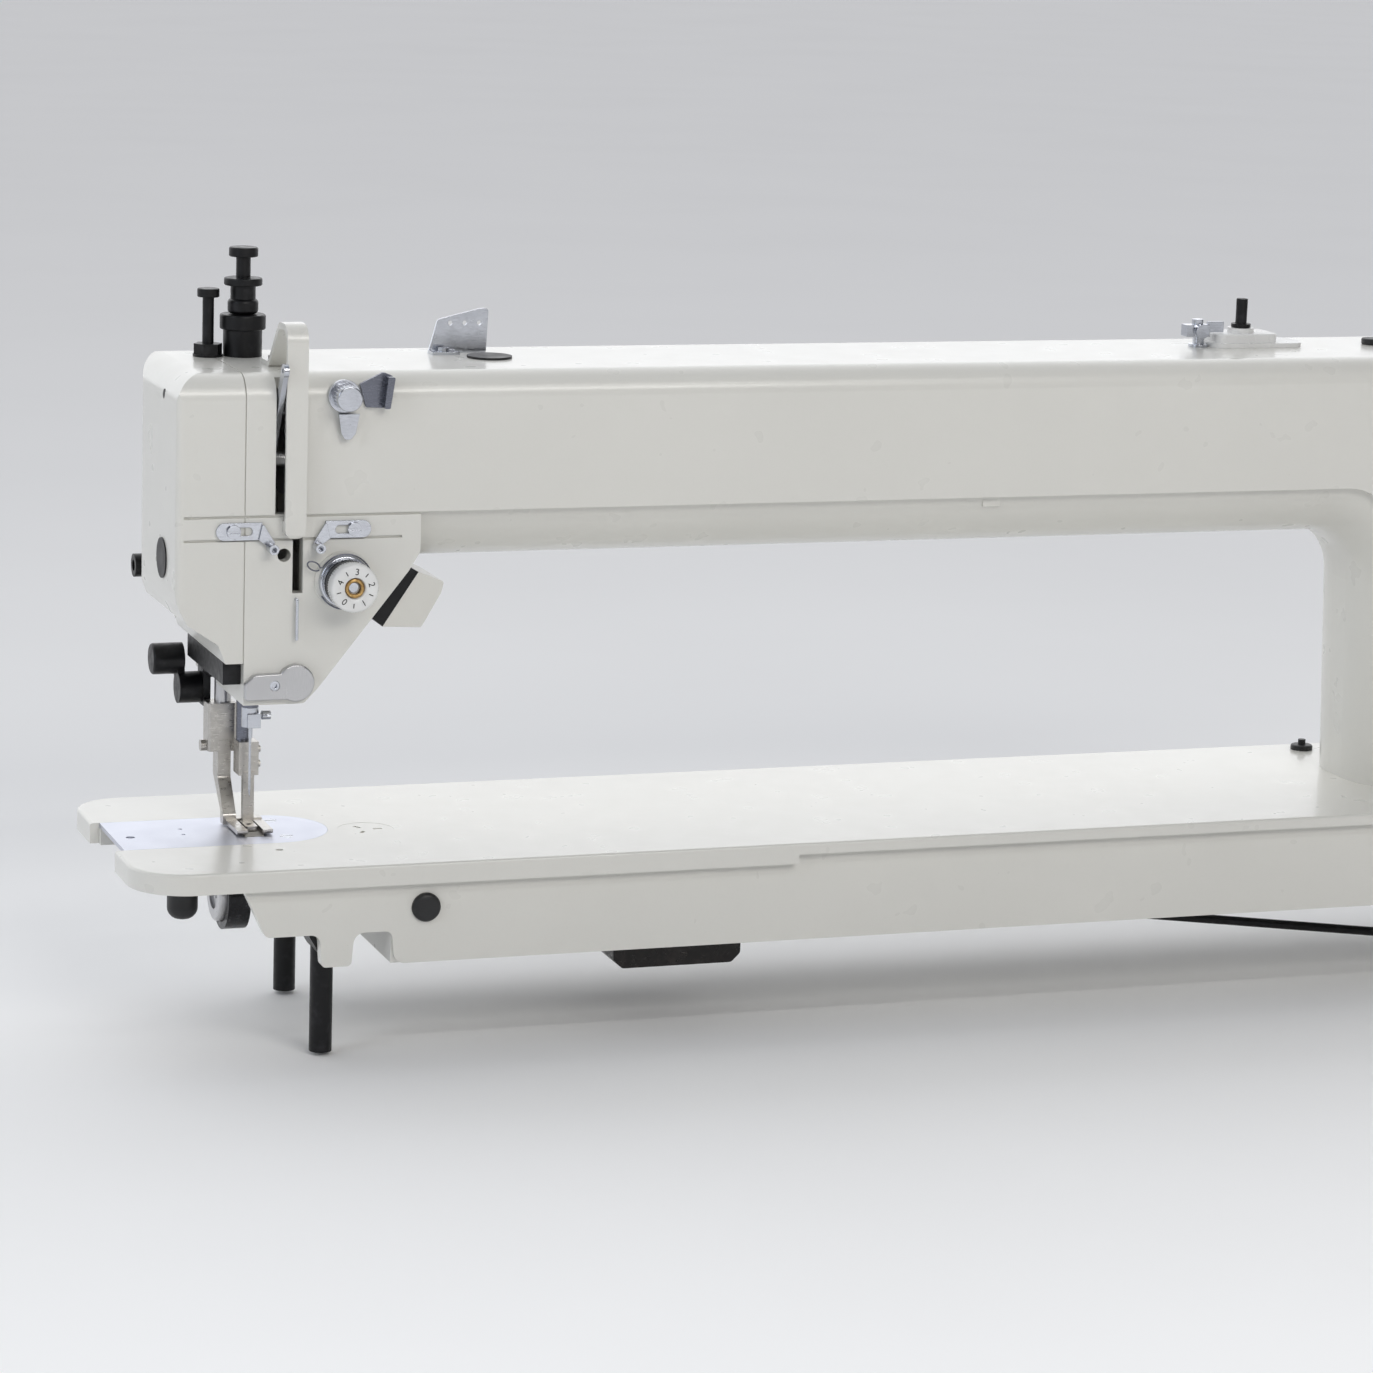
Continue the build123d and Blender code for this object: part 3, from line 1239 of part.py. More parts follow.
def reverse_pivot():
    """Pin across the pillar's hollow that carries the reverse lever."""
    y = core_front + 18
    pin = rod_x(dial_x - 12, dial_x + 12, y, reverse_z, lever_pin_r)
    for x in (dial_x - 12, dial_x + 7):
        pin += box(x, x + 5, core_front + cast_wall - 3, y + 5, reverse_z - 5, reverse_z + 5)
    return pin


# ---- under the bed -----------------------------------------------------------------------------
def support_legs():
    """Two plain steel rods that the tipped-back head stands on."""
    return Compound([rod_z(leg_bottom, -44, x, y, leg_r) for x, y in leg_places])


def leg_brackets():
    """Blocks under the bed that hold the two rods."""
    blocks = []
    for x, y in leg_places:
        side = -1 if y < 0 else 1
        wall_y = skirt_front + skirt_wall if side < 0 else skirt_back - skirt_wall
        y0 = min(wall_y, y - side * 11)
        y1 = max(wall_y, y - side * 11)
        outline = [(x - 11, -rim_thick), (x - 11, -40), (x - 5, -50), (x + 10, -50),
                   (x + 10, -rim_thick)]
        block = slab_xz(outline, 0, y0, y1)
        blocks.append(block - rod_z(-60, -44, x, y, leg_r))
    return Compound(blocks)


def oil_pan():
    """Dark pan hung under the bed's second cross wall."""
    x = cross_walls[1]
    outline = [(x - 36, -skirt_depth), (x - 36, -66), (x - 31, -71), (x + 31, -71),
               (x + 36, -66), (x + 36, -skirt_depth)]
    return slab_xz(outline, [0, 3, 3, 3, 3, 0], -62, 20)


def bed_bumper():
    """Black rubber bumper under the bed's left end."""
    bumper = rod_z(-33, -rim_thick, -47.0, -50.0, 8.0)
    return fillet(bumper.edges().sort_by(Axis.Z)[0], 6.0)


def knee_rod_place(x):
    """Height of the knee-lifter rod's axis at a distance along the bed."""
    return knee_left_z - knee_drop * (x - knee_left) / (knee_right - knee_left)


def slanted_rod(x0, x1, r):
    """A round bar along the knee-lifter rod's slanted axis."""
    z0 = knee_rod_place(x0)
    z1 = knee_rod_place(x1)
    run = x1 - x0
    length = (run * run + (z1 - z0) ** 2) ** 0.5
    tilt = degrees(atan2(z0 - z1, run))
    middle = Pos((x0 + x1) / 2, 0, (z0 + z1) / 2)
    return middle * Rot(0, 90 + tilt, 0) * Cylinder(r, length)


def knee_lift_rod():
    """Slanted rod that carries the knee lifter's pull to the head."""
    return slanted_rod(knee_left, knee_right, knee_rod_r)


def knee_rod_hangers():
    """Two eyes on the bed's cross walls that the knee-lifter rod slides in."""
    hangers = []
    for wall in cross_walls[2:]:
        x0 = wall + 3.5
        x1 = x0 + 6.0
        z = knee_rod_place((x0 + x1) / 2)
        hanger = box(x0, x1, -6, 6, z, -skirt_depth + 4) + rod_x(x0, x1, 0, z, 6.5)
        hangers.append(hanger - slanted_rod(x0 - 9, x1 + 9, knee_rod_r + slide_fit))
    return Compound(hangers)


# ---- groups of small fixed pieces ------------------------------------------------------------------
def bushes():
    """Bearing bushes of both shafts and of the needle bar."""
    return Compound([*main_shaft_bushes(), *hook_bushes(), *needle_bar_bushes()])


def black_plugs():
    """Dark plugs and bumpers: skirt, face cover, arm top and bed end."""
    return Compound([skirt_plug(), face_plug(), arm_oil_plug(), bed_bumper()])


def black_screws():
    """Dark screws of the guard, the covers and the pillar."""
    loose_ones = [guard_screw(), face_cover_screw(), lifter_stop_screw()]
    return Compound([*loose_ones, *rear_cover_screws(), *pillar_bolts()])


def bright_screws():
    """Bright screws of the needle plate, the thread guides and the link cover."""
    single = [link_cover_screw(), top_guide_screw()]
    return Compound([*single, *needle_plate_screws(), *thread_guide_screws()])


def thread_guides():
    """Bright fixed guides that lead the thread over the arm and down the head."""
    return Compound([left_thread_guide(), right_thread_guide(), wire_thread_hook(),
                     top_thread_guide()])


def oil_caps():
    """Oil filler cap on the bed and oil window on the arm."""
    return Compound([oil_cap(), sight_window()])


def fixed_pivots():
    """Studs and pins that levers swing on."""
    return Compound([take_up_stud(), reverse_pivot()])


def under_brackets():
    """Steel brackets under the bed and behind the head."""
    return Compound([*leg_brackets(), *knee_rod_hangers(), hook_finger_bracket(),
                     lifter_bracket()])


# ---- writing the parts -----------------------------------------------------------------------------
nodes = [
    bed_casting, bed_cap, black_plugs, oil_caps, needle_plate, slide_plate, arm_casting,
    face_cover, take_up_guard, rear_cover, black_screws, bright_screws, link_cover,
    lamp_bracket, lamp_housing, bushes, fixed_pivots, under_brackets, timing_belt,
    bobbin_case, bar_guide_block, thread_guides, tension_base,
    pretension_base, pretension_plate, regulator_sleeve, winder_base, winder_tension_post,
    support_legs, oil_pan,
    feed_dog, feed_rock_shaft, main_shaft, needle_crank, upper_pulley, handwheel, hook_shaft,
    lower_pulley, rotary_hook, needle_bar, needle_bar_link, needle_clamp, needle,
    take_up_lever, walking_bar, inner_foot, presser_bar, presser_spring, outer_foot_holder,
    outer_foot, hand_lifter, tension_dial, check_spring, pretension_knob, regulator_screw,
    stop_screw, winder_spindle, stitch_dial, reverse_lever, knee_lift_rod,
]

for node in nodes:
    export_step(node(), f"parts/{node.__name__}.step")
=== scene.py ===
import math

import bmesh
import bpy
from mathutils import Matrix, Vector


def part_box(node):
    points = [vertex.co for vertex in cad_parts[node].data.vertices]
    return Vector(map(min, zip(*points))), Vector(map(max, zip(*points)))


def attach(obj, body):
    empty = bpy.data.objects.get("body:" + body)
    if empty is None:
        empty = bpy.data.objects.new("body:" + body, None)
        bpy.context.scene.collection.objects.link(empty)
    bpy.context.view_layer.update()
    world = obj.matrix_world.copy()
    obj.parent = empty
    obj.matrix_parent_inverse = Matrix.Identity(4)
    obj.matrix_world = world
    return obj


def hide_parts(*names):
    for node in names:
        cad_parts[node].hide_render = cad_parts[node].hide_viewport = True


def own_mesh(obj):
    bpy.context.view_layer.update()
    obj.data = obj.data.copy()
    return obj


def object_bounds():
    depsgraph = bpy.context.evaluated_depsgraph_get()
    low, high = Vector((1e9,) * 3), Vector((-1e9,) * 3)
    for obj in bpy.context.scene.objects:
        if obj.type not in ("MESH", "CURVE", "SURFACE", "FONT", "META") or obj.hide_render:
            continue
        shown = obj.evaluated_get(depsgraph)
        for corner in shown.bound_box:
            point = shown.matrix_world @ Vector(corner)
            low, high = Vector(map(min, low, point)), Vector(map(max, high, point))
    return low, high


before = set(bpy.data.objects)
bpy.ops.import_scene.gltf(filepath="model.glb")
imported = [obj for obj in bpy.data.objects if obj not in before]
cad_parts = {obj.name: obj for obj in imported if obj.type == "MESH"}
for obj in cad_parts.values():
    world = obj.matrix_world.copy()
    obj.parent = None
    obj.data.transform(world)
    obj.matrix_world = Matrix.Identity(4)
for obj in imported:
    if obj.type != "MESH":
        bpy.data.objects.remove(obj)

# Looks of a long-arm sewing machine head for leather. Metres, in the model's own frame:
# +X along the arm to the pillar, +Y away from the operator, +Z up, needle at the origin.

cad_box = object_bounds()


# ---- node helpers -------------------------------------------------------------------------
class Shader:
    """A Principled material whose colour, roughness and bump come from procedural textures."""

    def __init__(self, name, metallic=0.0):
        self.material = bpy.data.materials.new(name)
        self.material.use_nodes = True
        self.nodes = self.material.node_tree.nodes
        self.links = self.material.node_tree.links
        self.shader = self.nodes["Principled BSDF"]
        self.shader.inputs["Metallic"].default_value = metallic
        self.place = self.nodes.new("ShaderNodeTexCoord").outputs["Object"]

    def noise(self, per_metre, detail=2.0, stretch=(1, 1, 1)):
        """Noise with a given number of cells per metre, stretched along the axes."""
        mapping = self.nodes.new("ShaderNodeMapping")
        mapping.inputs["Scale"].default_value = stretch
        texture = self.nodes.new("ShaderNodeTexNoise")
        texture.inputs["Scale"].default_value = per_metre
        texture.inputs["Detail"].default_value = detail
        self.links.new(self.place, mapping.inputs["Vector"])
        self.links.new(mapping.outputs["Vector"], texture.inputs["Vector"])
        return texture.outputs["Fac"]

    def ramp(self, value, low, high, start=0.3, end=0.7):
        """A colour that runs from low to high as the value goes from start to end."""
        ramp = self.nodes.new("ShaderNodeValToRGB")
        ramp.color_ramp.elements[0].position = start
        ramp.color_ramp.elements[1].position = end
        ramp.color_ramp.elements[0].color = (*low, 1)
        ramp.color_ramp.elements[1].color = (*high, 1)
        self.links.new(value, ramp.inputs["Fac"])
        return ramp.outputs["Color"]

    def spread(self, value, low, high):
        """The value mapped from its middle range to the range from low to high."""
        spread = self.nodes.new("ShaderNodeMapRange")
        spread.inputs["From Min"].default_value = 0.3
        spread.inputs["From Max"].default_value = 0.7
        spread.inputs["To Min"].default_value = low
        spread.inputs["To Max"].default_value = high
        self.links.new(value, spread.inputs["Value"])
        return spread.outputs["Result"]

    def mixed(self, factor, first, second):
        """Two colours joined by a factor."""
        mix = self.nodes.new("ShaderNodeMix")
        mix.data_type = "RGBA"
        self.links.new(factor, mix.inputs[0])
        self.links.new(first, mix.inputs[6])
        self.links.new(second, mix.inputs[7])
        return mix.outputs[2]

    def averaged(self, first, second):
        """The average of two values."""
        total = self.nodes.new("ShaderNodeMath")
        total.operation = "ADD"
        self.links.new(first, total.inputs[0])
        self.links.new(second, total.inputs[1])
        half = self.nodes.new("ShaderNodeMath")
        half.operation = "MULTIPLY"
        half.inputs[1].default_value = 0.5
        self.links.new(total.outputs[0], half.inputs[0])
        return half.outputs[0]

    def colour(self, output):
        self.links.new(output, self.shader.inputs["Base Color"])

    def roughness(self, output):
        self.links.new(output, self.shader.inputs["Roughness"])

    def bump(self, *layers, edge=0.0):
        """Stacks bump layers of (height, depth in metres, strength) on softened edges."""
        normal = None
        if edge:
            bevel = self.nodes.new("ShaderNodeBevel")
            bevel.inputs["Radius"].default_value = edge
            bevel.samples = 4
            normal = bevel.outputs["Normal"]
        for height, depth, strength in layers:
            bump = self.nodes.new("ShaderNodeBump")
            bump.inputs["Distance"].default_value = depth
            bump.inputs["Strength"].default_value = strength
            self.links.new(height, bump.inputs["Height"])
            if normal is not None:
                self.links.new(normal, bump.inputs["Normal"])
            normal = bump.outputs["Normal"]
        self.links.new(normal, self.shader.inputs["Normal"])


# ---- materials ------------------------------------------------------------------------------
def enamel(name, pale, shade):
    """Sprayed enamel over a casting: orange peel and a faint tone change."""
    s = Shader(name)
    tone = s.ramp(s.noise(9, 3), shade, pale)
    speck = s.ramp(s.noise(900, 2), tuple(c * 0.98 for c in shade), pale, 0.2, 0.5)
    s.colour(s.mixed(s.spread(s.noise(20, 2), 0.2, 0.3), tone, speck))
    s.roughness(s.spread(s.noise(60, 2), 0.27, 0.33))
    s.shader.inputs["Coat Weight"].default_value = 0.3
    s.shader.inputs["Coat Roughness"].default_value = 0.12
    s.bump((s.noise(170, 1), 0.0004, 0.22))
    return s.material


def ground_steel(name, tint, low, high, stretch=(1, 26, 1)):
    """Steel with grinding lines along one direction and light rubbing marks."""
    s = Shader(name, metallic=1.0)
    lines = s.noise(260, 4, stretch)
    dark = tuple(c * 0.84 for c in tint)
    rubbed = s.spread(s.noise(25, 3), 0.0, 0.5)
    s.colour(s.mixed(rubbed, s.ramp(lines, dark, tint), s.ramp(lines, tint, dark)))
    s.roughness(s.spread(s.averaged(lines, s.noise(45, 4)), low, high))
    s.bump((lines, 0.00004, 0.35), edge=SOFT_EDGE)
    return s.material


def plated(name, tint, low, high):
    """Plated, polished metal with fine handling scratches and a cloudy bloom."""
    s = Shader(name, metallic=1.0)
    cloud = s.noise(120, 4)
    s.colour(s.ramp(cloud, tuple(c * 0.88 for c in tint), tint))
    s.roughness(s.spread(s.noise(300, 3, (1, 1, 5)), low, high))
    s.bump((s.noise(700, 2), 0.00002, 0.3), (cloud, 0.0001, 0.1), edge=SOFT_EDGE)
    return s.material


def blackened(name, dark, worn, gloss):
    """Black oxide with a trace of bare steel showing through where it is handled."""
    s = Shader(name, metallic=0.35)
    s.colour(s.ramp(s.noise(170, 5), dark, worn, 0.52, 0.82))
    s.roughness(s.spread(s.noise(240, 3), gloss - 0.08, gloss + 0.12))
    s.bump((s.noise(800, 2), 0.00005, 0.3), edge=0.0004)
    return s.material


def moulded(name, pale, shade, rough):
    """Moulded plastic or rubber with a fine grain."""
    s = Shader(name)
    s.colour(s.ramp(s.noise(70, 3), shade, pale))
    s.roughness(s.spread(s.noise(110, 3), rough - 0.06, rough + 0.08))
    s.bump((s.noise(600, 2), 0.00006, 0.4), edge=SOFT_EDGE)
    return s.material


def bronze(name):
    """Sintered bronze with its pores."""
    s = Shader(name, metallic=1.0)
    s.colour(s.ramp(s.noise(500, 3), (0.30, 0.17, 0.06), (0.72, 0.48, 0.20)))
    s.roughness(s.spread(s.noise(300, 2), 0.30, 0.46))
    s.bump((s.noise(1500, 2), 0.00004, 0.4))
    return s.material


def paper_floor(name):
    """Matt pale floor with the faintest mottling."""
    s = Shader(name)
    s.colour(s.ramp(s.noise(3, 3), (0.93, 0.93, 0.93), (0.95, 0.95, 0.95)))
    s.roughness(s.spread(s.noise(6, 2), 0.85, 0.95))
    s.bump((s.noise(300, 2), 0.00005, 0.1))
    s.shader.inputs["Specular IOR Level"].default_value = 0.1
    return s.material


SOFT_EDGE = 0.0003      # radius that the shading rounds small edges by, in metres
CREAM = (0.720, 0.712, 0.668)
CREAM_SHADE = (0.690, 0.682, 0.640)

looks = {
    "enamel": enamel("cream_enamel", CREAM, CREAM_SHADE),
    "plates": ground_steel("bed_plate_steel", (0.66, 0.68, 0.76), 0.34, 0.50),
    "plated": plated("plated_steel", (0.60, 0.62, 0.67), 0.14, 0.28),
    "satin": ground_steel("satin_steel", (0.60, 0.60, 0.61), 0.22, 0.38, (8, 1, 1)),
    "cast_steel": plated("cast_foot_steel", (0.56, 0.54, 0.51), 0.24, 0.42),
    "dark_steel": plated("gunmetal_steel", (0.20, 0.21, 0.25), 0.22, 0.36),
    "black": blackened("black_oxide", (0.005, 0.005, 0.006), (0.022, 0.022, 0.025), 0.38),
    "pan": blackened("oil_pan_paint", (0.012, 0.010, 0.009), (0.040, 0.032, 0.029), 0.30),
    "rubber": moulded("black_rubber", (0.016, 0.016, 0.017), (0.009, 0.009, 0.010), 0.45),
    "white_plastic": moulded("white_plastic", (0.80, 0.80, 0.79), (0.74, 0.74, 0.73), 0.30),
    "grey_plastic": moulded("charcoal_plastic", (0.040, 0.040, 0.043), (0.026, 0.026, 0.029), 0.42),
    "ink": moulded("dial_ink", (0.012, 0.012, 0.013), (0.008, 0.008, 0.009), 0.5),
    "bronze": bronze("sintered_bronze"),
    "alloy": ground_steel("turned_alloy", (0.70, 0.71, 0.73), 0.24, 0.36, (18, 1, 1)),
    "wheel_paint": blackened("wheel_paint", (0.010, 0.010, 0.011), (0.024, 0.024, 0.026), 0.30),
    "hook_black": blackened("hook_oxide", (0.008, 0.008, 0.010), (0.060, 0.060, 0.066), 0.26),
}

finishes = {
    "enamel": ["bed_casting", "arm_casting", "face_cover", "rear_cover", "take_up_guard",
               "lamp_housing", "bed_cap"],
    "plates": ["needle_plate", "slide_plate"],
    "plated": ["thread_guides", "tension_base", "pretension_base", "bright_screws", "needle",
               "needle_clamp", "winder_tension_post", "take_up_lever", "check_spring",
               "needle_bar_link", "pretension_knob"],
    "satin": ["link_cover", "needle_crank", "main_shaft", "hook_shaft", "feed_rock_shaft",
              "bobbin_case", "fixed_pivots", "presser_spring", "presser_bar"],
    "cast_steel": ["outer_foot_holder", "outer_foot", "inner_foot", "feed_dog"],
    "dark_steel": ["pretension_plate", "needle_bar", "walking_bar"],
    "black": ["black_screws", "bar_guide_block", "lamp_bracket", "regulator_sleeve",
              "regulator_screw", "stop_screw", "winder_spindle", "reverse_lever",
              "support_legs", "hand_lifter", "under_brackets", "knee_lift_rod"],
    "hook_black": ["rotary_hook"],
    "pan": ["oil_pan"],
    "rubber": ["black_plugs", "timing_belt", "oil_caps"],
    "white_plastic": ["winder_base", "tension_dial"],
    "grey_plastic": ["stitch_dial"],
    "bronze": ["bushes"],
    "alloy": ["upper_pulley", "lower_pulley"],
    "wheel_paint": ["handwheel"],
}


def dress_nodes():
    for look, names in finishes.items():
        for name in names:
            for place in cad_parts[name].material_slots:
                place.material = looks[look]


# ---- mesh helpers ---------------------------------------------------------------------------
def mesh_piece(name, build, look, body):
    """A smooth-shaded mesh object filled by build(bm), riding on a body."""
    mesh = bpy.data.meshes.new(name)
    bm = bmesh.new()
    build(bm)
    bmesh.ops.recalc_face_normals(bm, faces=bm.faces)
    bm.to_mesh(mesh)
    bm.free()
    piece = bpy.data.objects.new(name, mesh)
    bpy.context.collection.objects.link(piece)
    for face in mesh.polygons:
        face.use_smooth = True
    mesh.materials.append(looks[look])
    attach(piece, body)
    return piece


def turned(bm, middle, profile, steps=72, flute=None):
    """Revolves (distance towards the operator, radius) points about an axis along Y."""
    rings = []
    for depth, radius in profile:
        ring = []
        for step in range(steps):
            angle = 2 * math.pi * step / steps
            r = radius
            if flute and flute[0] <= depth <= flute[1]:
                r += flute[2] * (step % 2)
            ring.append(bm.verts.new((middle[0] + r * math.cos(angle), middle[1] - depth,
                                      middle[2] + r * math.sin(angle))))
        rings.append(ring)
    for first, second in zip(rings, rings[1:]):
        for step in range(steps):
            after = (step + 1) % steps
            bm.faces.new((first[step], first[after], second[after], second[step]))


def tube(bm, points, radius, sides=12):
    """A round wire along a list of points, closed with a disc at each end."""
    rings = []
    for index, point in enumerate(points):
        before = points[max(index - 1, 0)]
        after = points[min(index + 1, len(points) - 1)]
        along = (after - before).normalized()
        across = along.cross(Vector((0.13, 0.27, 1))).normalized()
        other = along.cross(across)
        ring = []
        for side in range(sides):
            angle = 2 * math.pi * side / sides
            offset = across * math.cos(angle) + other * math.sin(angle)
            ring.append(bm.verts.new(point + offset * radius))
        rings.append(ring)
    for first, second in zip(rings, rings[1:]):
        for side in range(sides):
            after = (side + 1) % sides
            bm.faces.new((first[side], first[after], second[after], second[side]))
    bm.faces.new(rings[0])
    bm.faces.new(rings[-1])


def centre(node):
    low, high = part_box(node)
    return (Vector(low) + Vector(high)) / 2


# ---- thread tension ----------------------------------------------------------------------------
def tension_dial():
    """White fluted dial with a dark skirt behind it, and the brass screw in its face."""
    low, high = (Vector(corner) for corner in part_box("tension_dial"))
    axis = (low + high) / 2
    back = high.y
    deep = high.y - low.y
    r = (high.x - low.x) / 2
    middle = (axis.x, back, axis.z)
    front = deep * 0.42

    def skirt(bm):
        turned(bm, middle, [
            (0.0, 0.0029), (0.0, r - 0.0016), (0.0008, r - 0.0008), (front - 0.0004, r - 0.0008),
            (front, r - 0.0012), (front, 0.0029), (0.0, 0.0029)])

    def face(bm):
        turned(bm, middle, [
            (front + 0.0001, 0.0029), (front + 0.0001, r - 0.0007), (front + 0.0006, r - 0.0002),
            (deep - 0.0013, r - 0.0002), (deep - 0.0004, r - 0.0009), (deep, r - 0.0019),
            (deep, 0.0060), (deep - 0.0004, 0.0056), (deep - 0.0040, 0.0052),
            (deep - 0.0040, 0.0029), (front + 0.0001, 0.0029)],
            steps=120, flute=(front + 0.0005, deep - 0.0012, -0.0004))

    def insert(bm):
        turned(bm, middle, [
            (deep - 0.0060, 0.0028), (deep - 0.0060, 0.0050), (deep - 0.0012, 0.0050),
            (deep - 0.0007, 0.0046), (deep - 0.0007, 0.0036), (deep - 0.0012, 0.0032),
            (deep - 0.0020, 0.0031), (deep - 0.0026, 0.0034), (deep - 0.0032, 0.0031),
            (deep - 0.0038, 0.0034), (deep - 0.0044, 0.0031), (deep - 0.0060, 0.0028)])

    pieces = [
        mesh_piece("tension_dial_skirt", skirt, "grey_plastic", "tension_dial"),
        mesh_piece("tension_dial_face", face, "white_plastic", "tension_dial"),
        mesh_piece("tension_dial_insert", insert, "bronze", "tension_dial"),
    ]
    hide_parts("tension_dial")
    dial_marks(Vector((axis.x, low.y, axis.z)), r)


def dial_marks(face, r):
    """Generic numbers 0 to 4 round the dial, with a tick between each two."""
    first = 229.0       # degrees from the right, where the 0 stands
    for number in range(5):
        turn = math.radians(first + 72 * number)
        text = bpy.data.curves.new(f"dial_number_{number}", "FONT")
        text.body = str(number)
        text.size = 0.0048
        text.extrude = 0.00006
        text.align_x = "CENTER"
        text.align_y = "CENTER"
        text.materials.append(looks["ink"])
        mark = bpy.data.objects.new(f"dial_number_{number}", text)
        bpy.context.collection.objects.link(mark)
        outward = Vector((math.cos(turn), 0, math.sin(turn)))
        place = face + outward * r * 0.66 + Vector((0, -0.00002, 0))
        spin = Matrix.Rotation(math.pi / 2 - turn, 4, "Y")
        mark.matrix_world = Matrix.Translation(place) @ spin @ Matrix.Rotation(math.pi / 2, 4, "X")
        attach(mark, "tension_dial")

    def ticks(bm):
        for gap in range(5):
            turn = math.radians(first + 36 + 72 * gap)
            outward = Vector((math.cos(turn), 0, math.sin(turn)))
            across = Vector((-outward.z, 0, outward.x))
            size = Vector((0.0, -0.00008, 0.0))
            corners = []
            for reach, side in ((0.60, -1), (0.60, 1), (0.78, 1), (0.78, -1)):
                corners.append(face + outward * r * reach + across * side * 0.00024)
            lower = [bm.verts.new(corner - size) for corner in corners]
            upper = [bm.verts.new(corner + size) for corner in corners]
            bm.faces.new(upper)
            bm.faces.new(lower[::-1])
            for index in range(4):
                after = (index + 1) % 4
                bm.faces.new((lower[index], lower[after], upper[after], upper[index]))

    mesh_piece("dial_ticks", ticks, "ink", "tension_dial")


def check_spring():
    """Spring wire: one turn round the tension seat, then a long loop to the upper left."""
    low, high = (Vector(corner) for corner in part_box("check_spring"))
    seat = centre("tension_base")
    y = (low.y + high.y) / 2
    coil_r = 0.0143
    points = []
    for step in range(34):
        turn = math.radians(-150 + 9 * step)
        points.append(Vector((seat.x + coil_r * math.cos(turn), y, seat.z + coil_r * math.sin(turn))))
    tip = math.radians(153)
    outward = Vector((math.cos(tip), 0, math.sin(tip)))
    across = Vector((-outward.z, 0, outward.x))
    middle = Vector((seat.x, y, seat.z)) + outward * 0.0189
    for step in range(22):
        turn = math.radians(200 + 15.5 * step)
        points.append(middle + outward * 0.0036 * math.cos(turn) + across * 0.0021 * math.sin(turn))
    piece = mesh_piece("check_spring_wire", lambda bm: tube(bm, points, 0.0004), "dark_steel",
                       "check_spring")
    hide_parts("check_spring")


def presser_spring():
    """Coil spring round the presser bar."""
    low, high = (Vector(corner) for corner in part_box("presser_spring"))
    wire = 0.0009
    coil_r = (high.x - low.x) / 2 - wire
    turns = 9
    middle = (low + high) / 2
    points = []
    for step in range(turns * 24 + 1):
        turn = 2 * math.pi * step / 24
        share = step / (turns * 24)
        z = low.z + wire + (high.z - low.z - 2 * wire) * share
        points.append(Vector((middle.x + coil_r * math.cos(turn), middle.y + coil_r * math.sin(turn), z)))
    piece = mesh_piece("presser_spring_coil", lambda bm: tube(bm, points, wire, 8), "satin",
                       "frame")
    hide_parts("presser_spring")
    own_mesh(piece)


# ---- stage ---------------------------------------------------------------------------------------
def floor():
    lowest = cad_box[0][2]
    bpy.ops.mesh.primitive_plane_add(size=60, location=(0.3, 0, lowest - 0.0004))
    plane = bpy.context.object
    plane.name = "floor"
    plane.data.materials.append(paper_floor("pale_floor"))


def area_light(name, place, target, width, height, watts, colour):
    """A soft rectangular light aimed at a point."""
    light = bpy.data.lights.new(name, "AREA")
    light.shape = "RECTANGLE"
    light.size = width
    light.size_y = height
    light.energy = watts
    light.color = colour
    lamp = bpy.data.objects.new(name, light)
    bpy.context.collection.objects.link(lamp)
    lamp.location = place
    lamp.rotation_euler = (Vector(target) - Vector(place)).to_track_quat("-Z", "Y").to_euler()


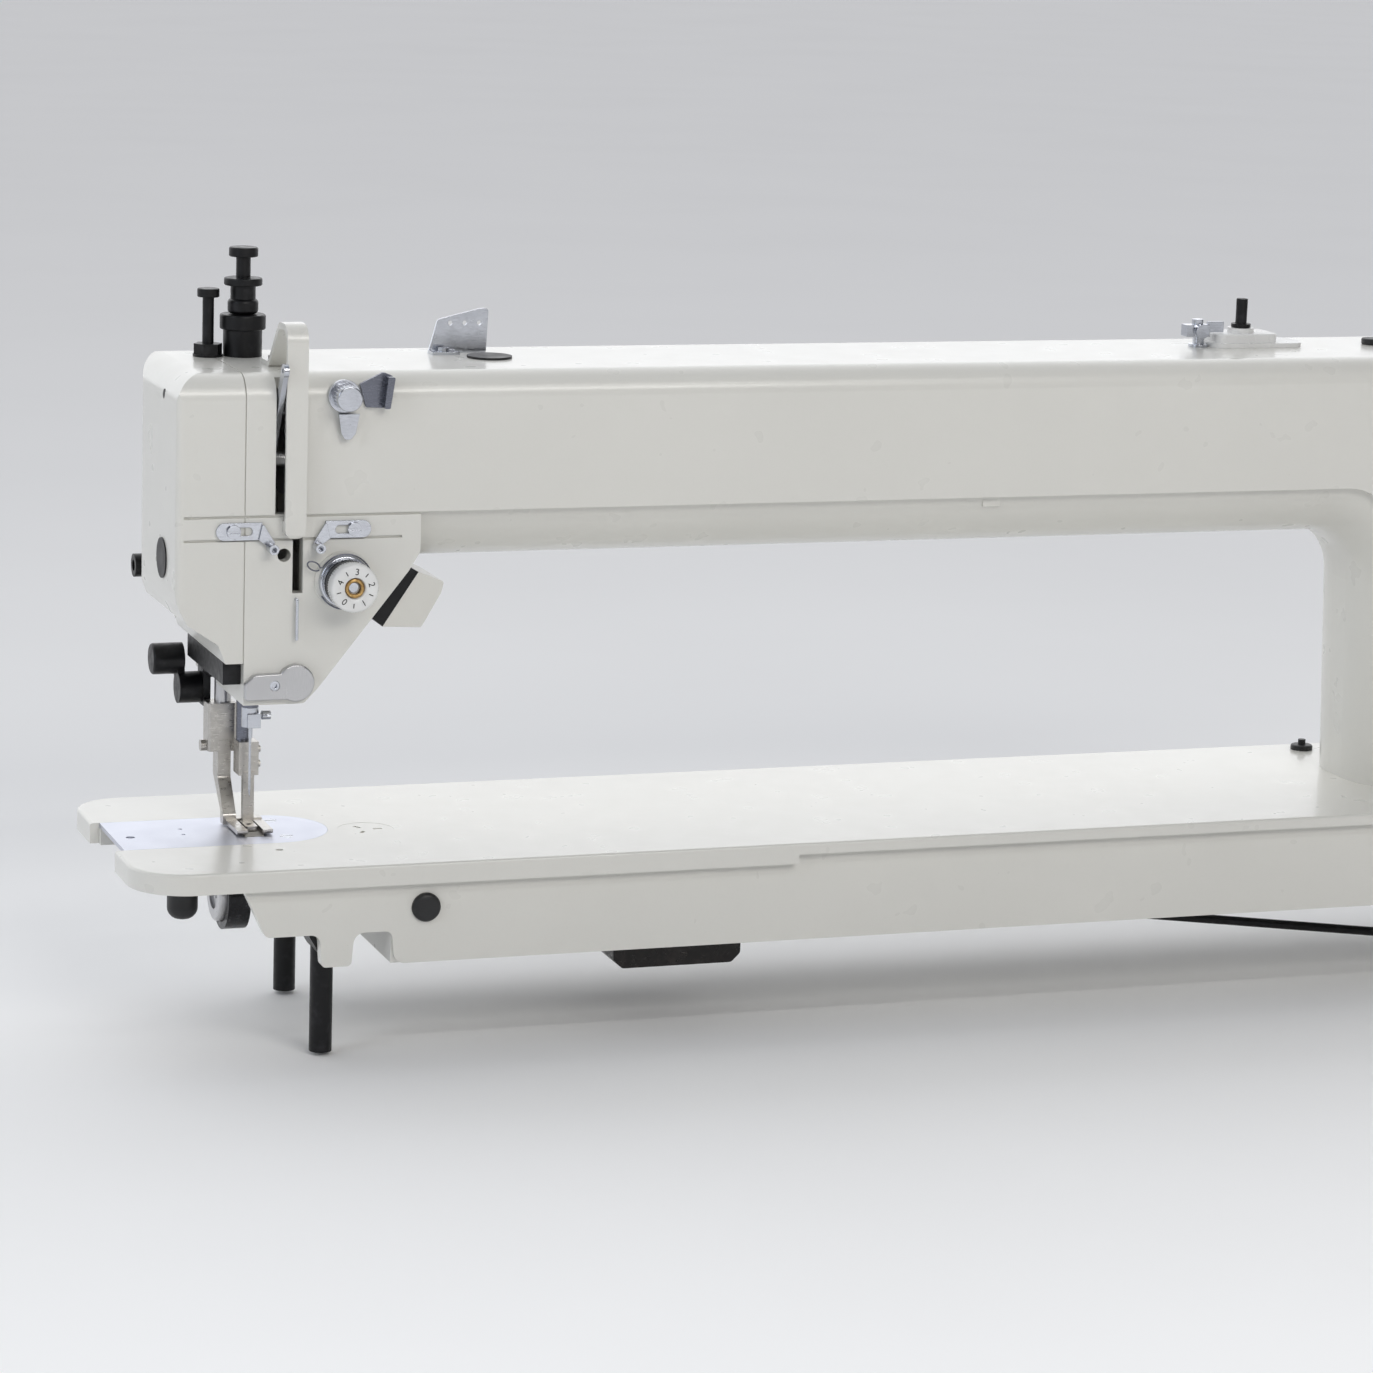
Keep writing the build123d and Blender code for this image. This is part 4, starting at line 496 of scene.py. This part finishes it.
def surround():
    """Bright behind the machine and dark on the operator's side, so that metal shows contrast."""
    world = bpy.data.worlds.new("studio")
    bpy.context.scene.world = world
    world.use_nodes = True
    nodes = world.node_tree.nodes
    links = world.node_tree.links
    place = nodes.new("ShaderNodeTexCoord")
    split = nodes.new("ShaderNodeSeparateXYZ")
    shade = nodes.new("ShaderNodeValToRGB")
    shade.color_ramp.elements[0].position = 0.46
    shade.color_ramp.elements[0].color = (0.10, 0.10, 0.11, 1)
    shade.color_ramp.elements[1].position = 0.80
    shade.color_ramp.elements[1].color = (0.97, 0.98, 1.0, 1)
    lift = nodes.new("ShaderNodeMath")
    lift.operation = "MULTIPLY_ADD"
    lift.inputs[1].default_value = 0.5
    lift.inputs[2].default_value = 0.5
    links.new(place.outputs["Generated"], split.inputs["Vector"])
    links.new(split.outputs["Y"], lift.inputs[0])
    links.new(lift.outputs[0], shade.inputs["Fac"])
    links.new(shade.outputs["Color"], nodes["Background"].inputs["Color"])
    nodes["Background"].inputs["Strength"].default_value = 1.45


def lamps():
    """Soft boxes above, left and in front, and a thin strip for lines of light on edges."""
    area_light("top_box", (0.2, -0.2, 2.4), (0.25, 0, 0), 3.0, 1.6, 4, (0.80, 0.90, 1.0))
    area_light("left_box", (-2.3, -1.1, 1.2), (0, 0, 0.1), 1.2, 1.2, 13, (0.84, 0.91, 1.0))
    area_light("front_box", (0.6, -2.9, 1.7), (0.3, 0, 0.1), 1.8, 0.7, 29, (1.0, 0.98, 0.94))
    area_light("strip", (0.3, -1.6, 1.6), (0.3, 0, 0.1), 2.0, 0.08, 5, (1.0, 0.99, 0.96))


def camera():
    """The photograph's viewing angle: a long lens, from the left and slightly above."""
    yaw = math.radians(19.70)
    pitch = math.radians(11.57)
    roll = math.radians(1.87)
    forward = Vector((math.sin(yaw) * math.cos(pitch), math.cos(yaw) * math.cos(pitch),
                      -math.sin(pitch)))
    right = Vector((math.cos(yaw), -math.sin(yaw), 0))
    up = right.cross(forward)
    across = right * math.cos(roll) + up * math.sin(roll)
    above = up * math.cos(roll) - right * math.sin(roll)
    lens = bpy.data.cameras.new("camera")
    lens.sensor_width = 36
    lens.lens = 116.0
    lens.clip_end = 100
    eye = bpy.data.objects.new("camera", lens)
    bpy.context.collection.objects.link(eye)
    turn = Matrix((across, above, -forward)).transposed().to_4x4()
    eye.matrix_world = Matrix.Translation((-0.5520, -2.2219, 0.5513)) @ turn
    bpy.context.scene.camera = eye


dress_nodes()
tension_dial()
check_spring()
presser_spring()
floor()
surround()
lamps()
camera()
bpy.context.scene.view_settings.view_transform = "Standard"
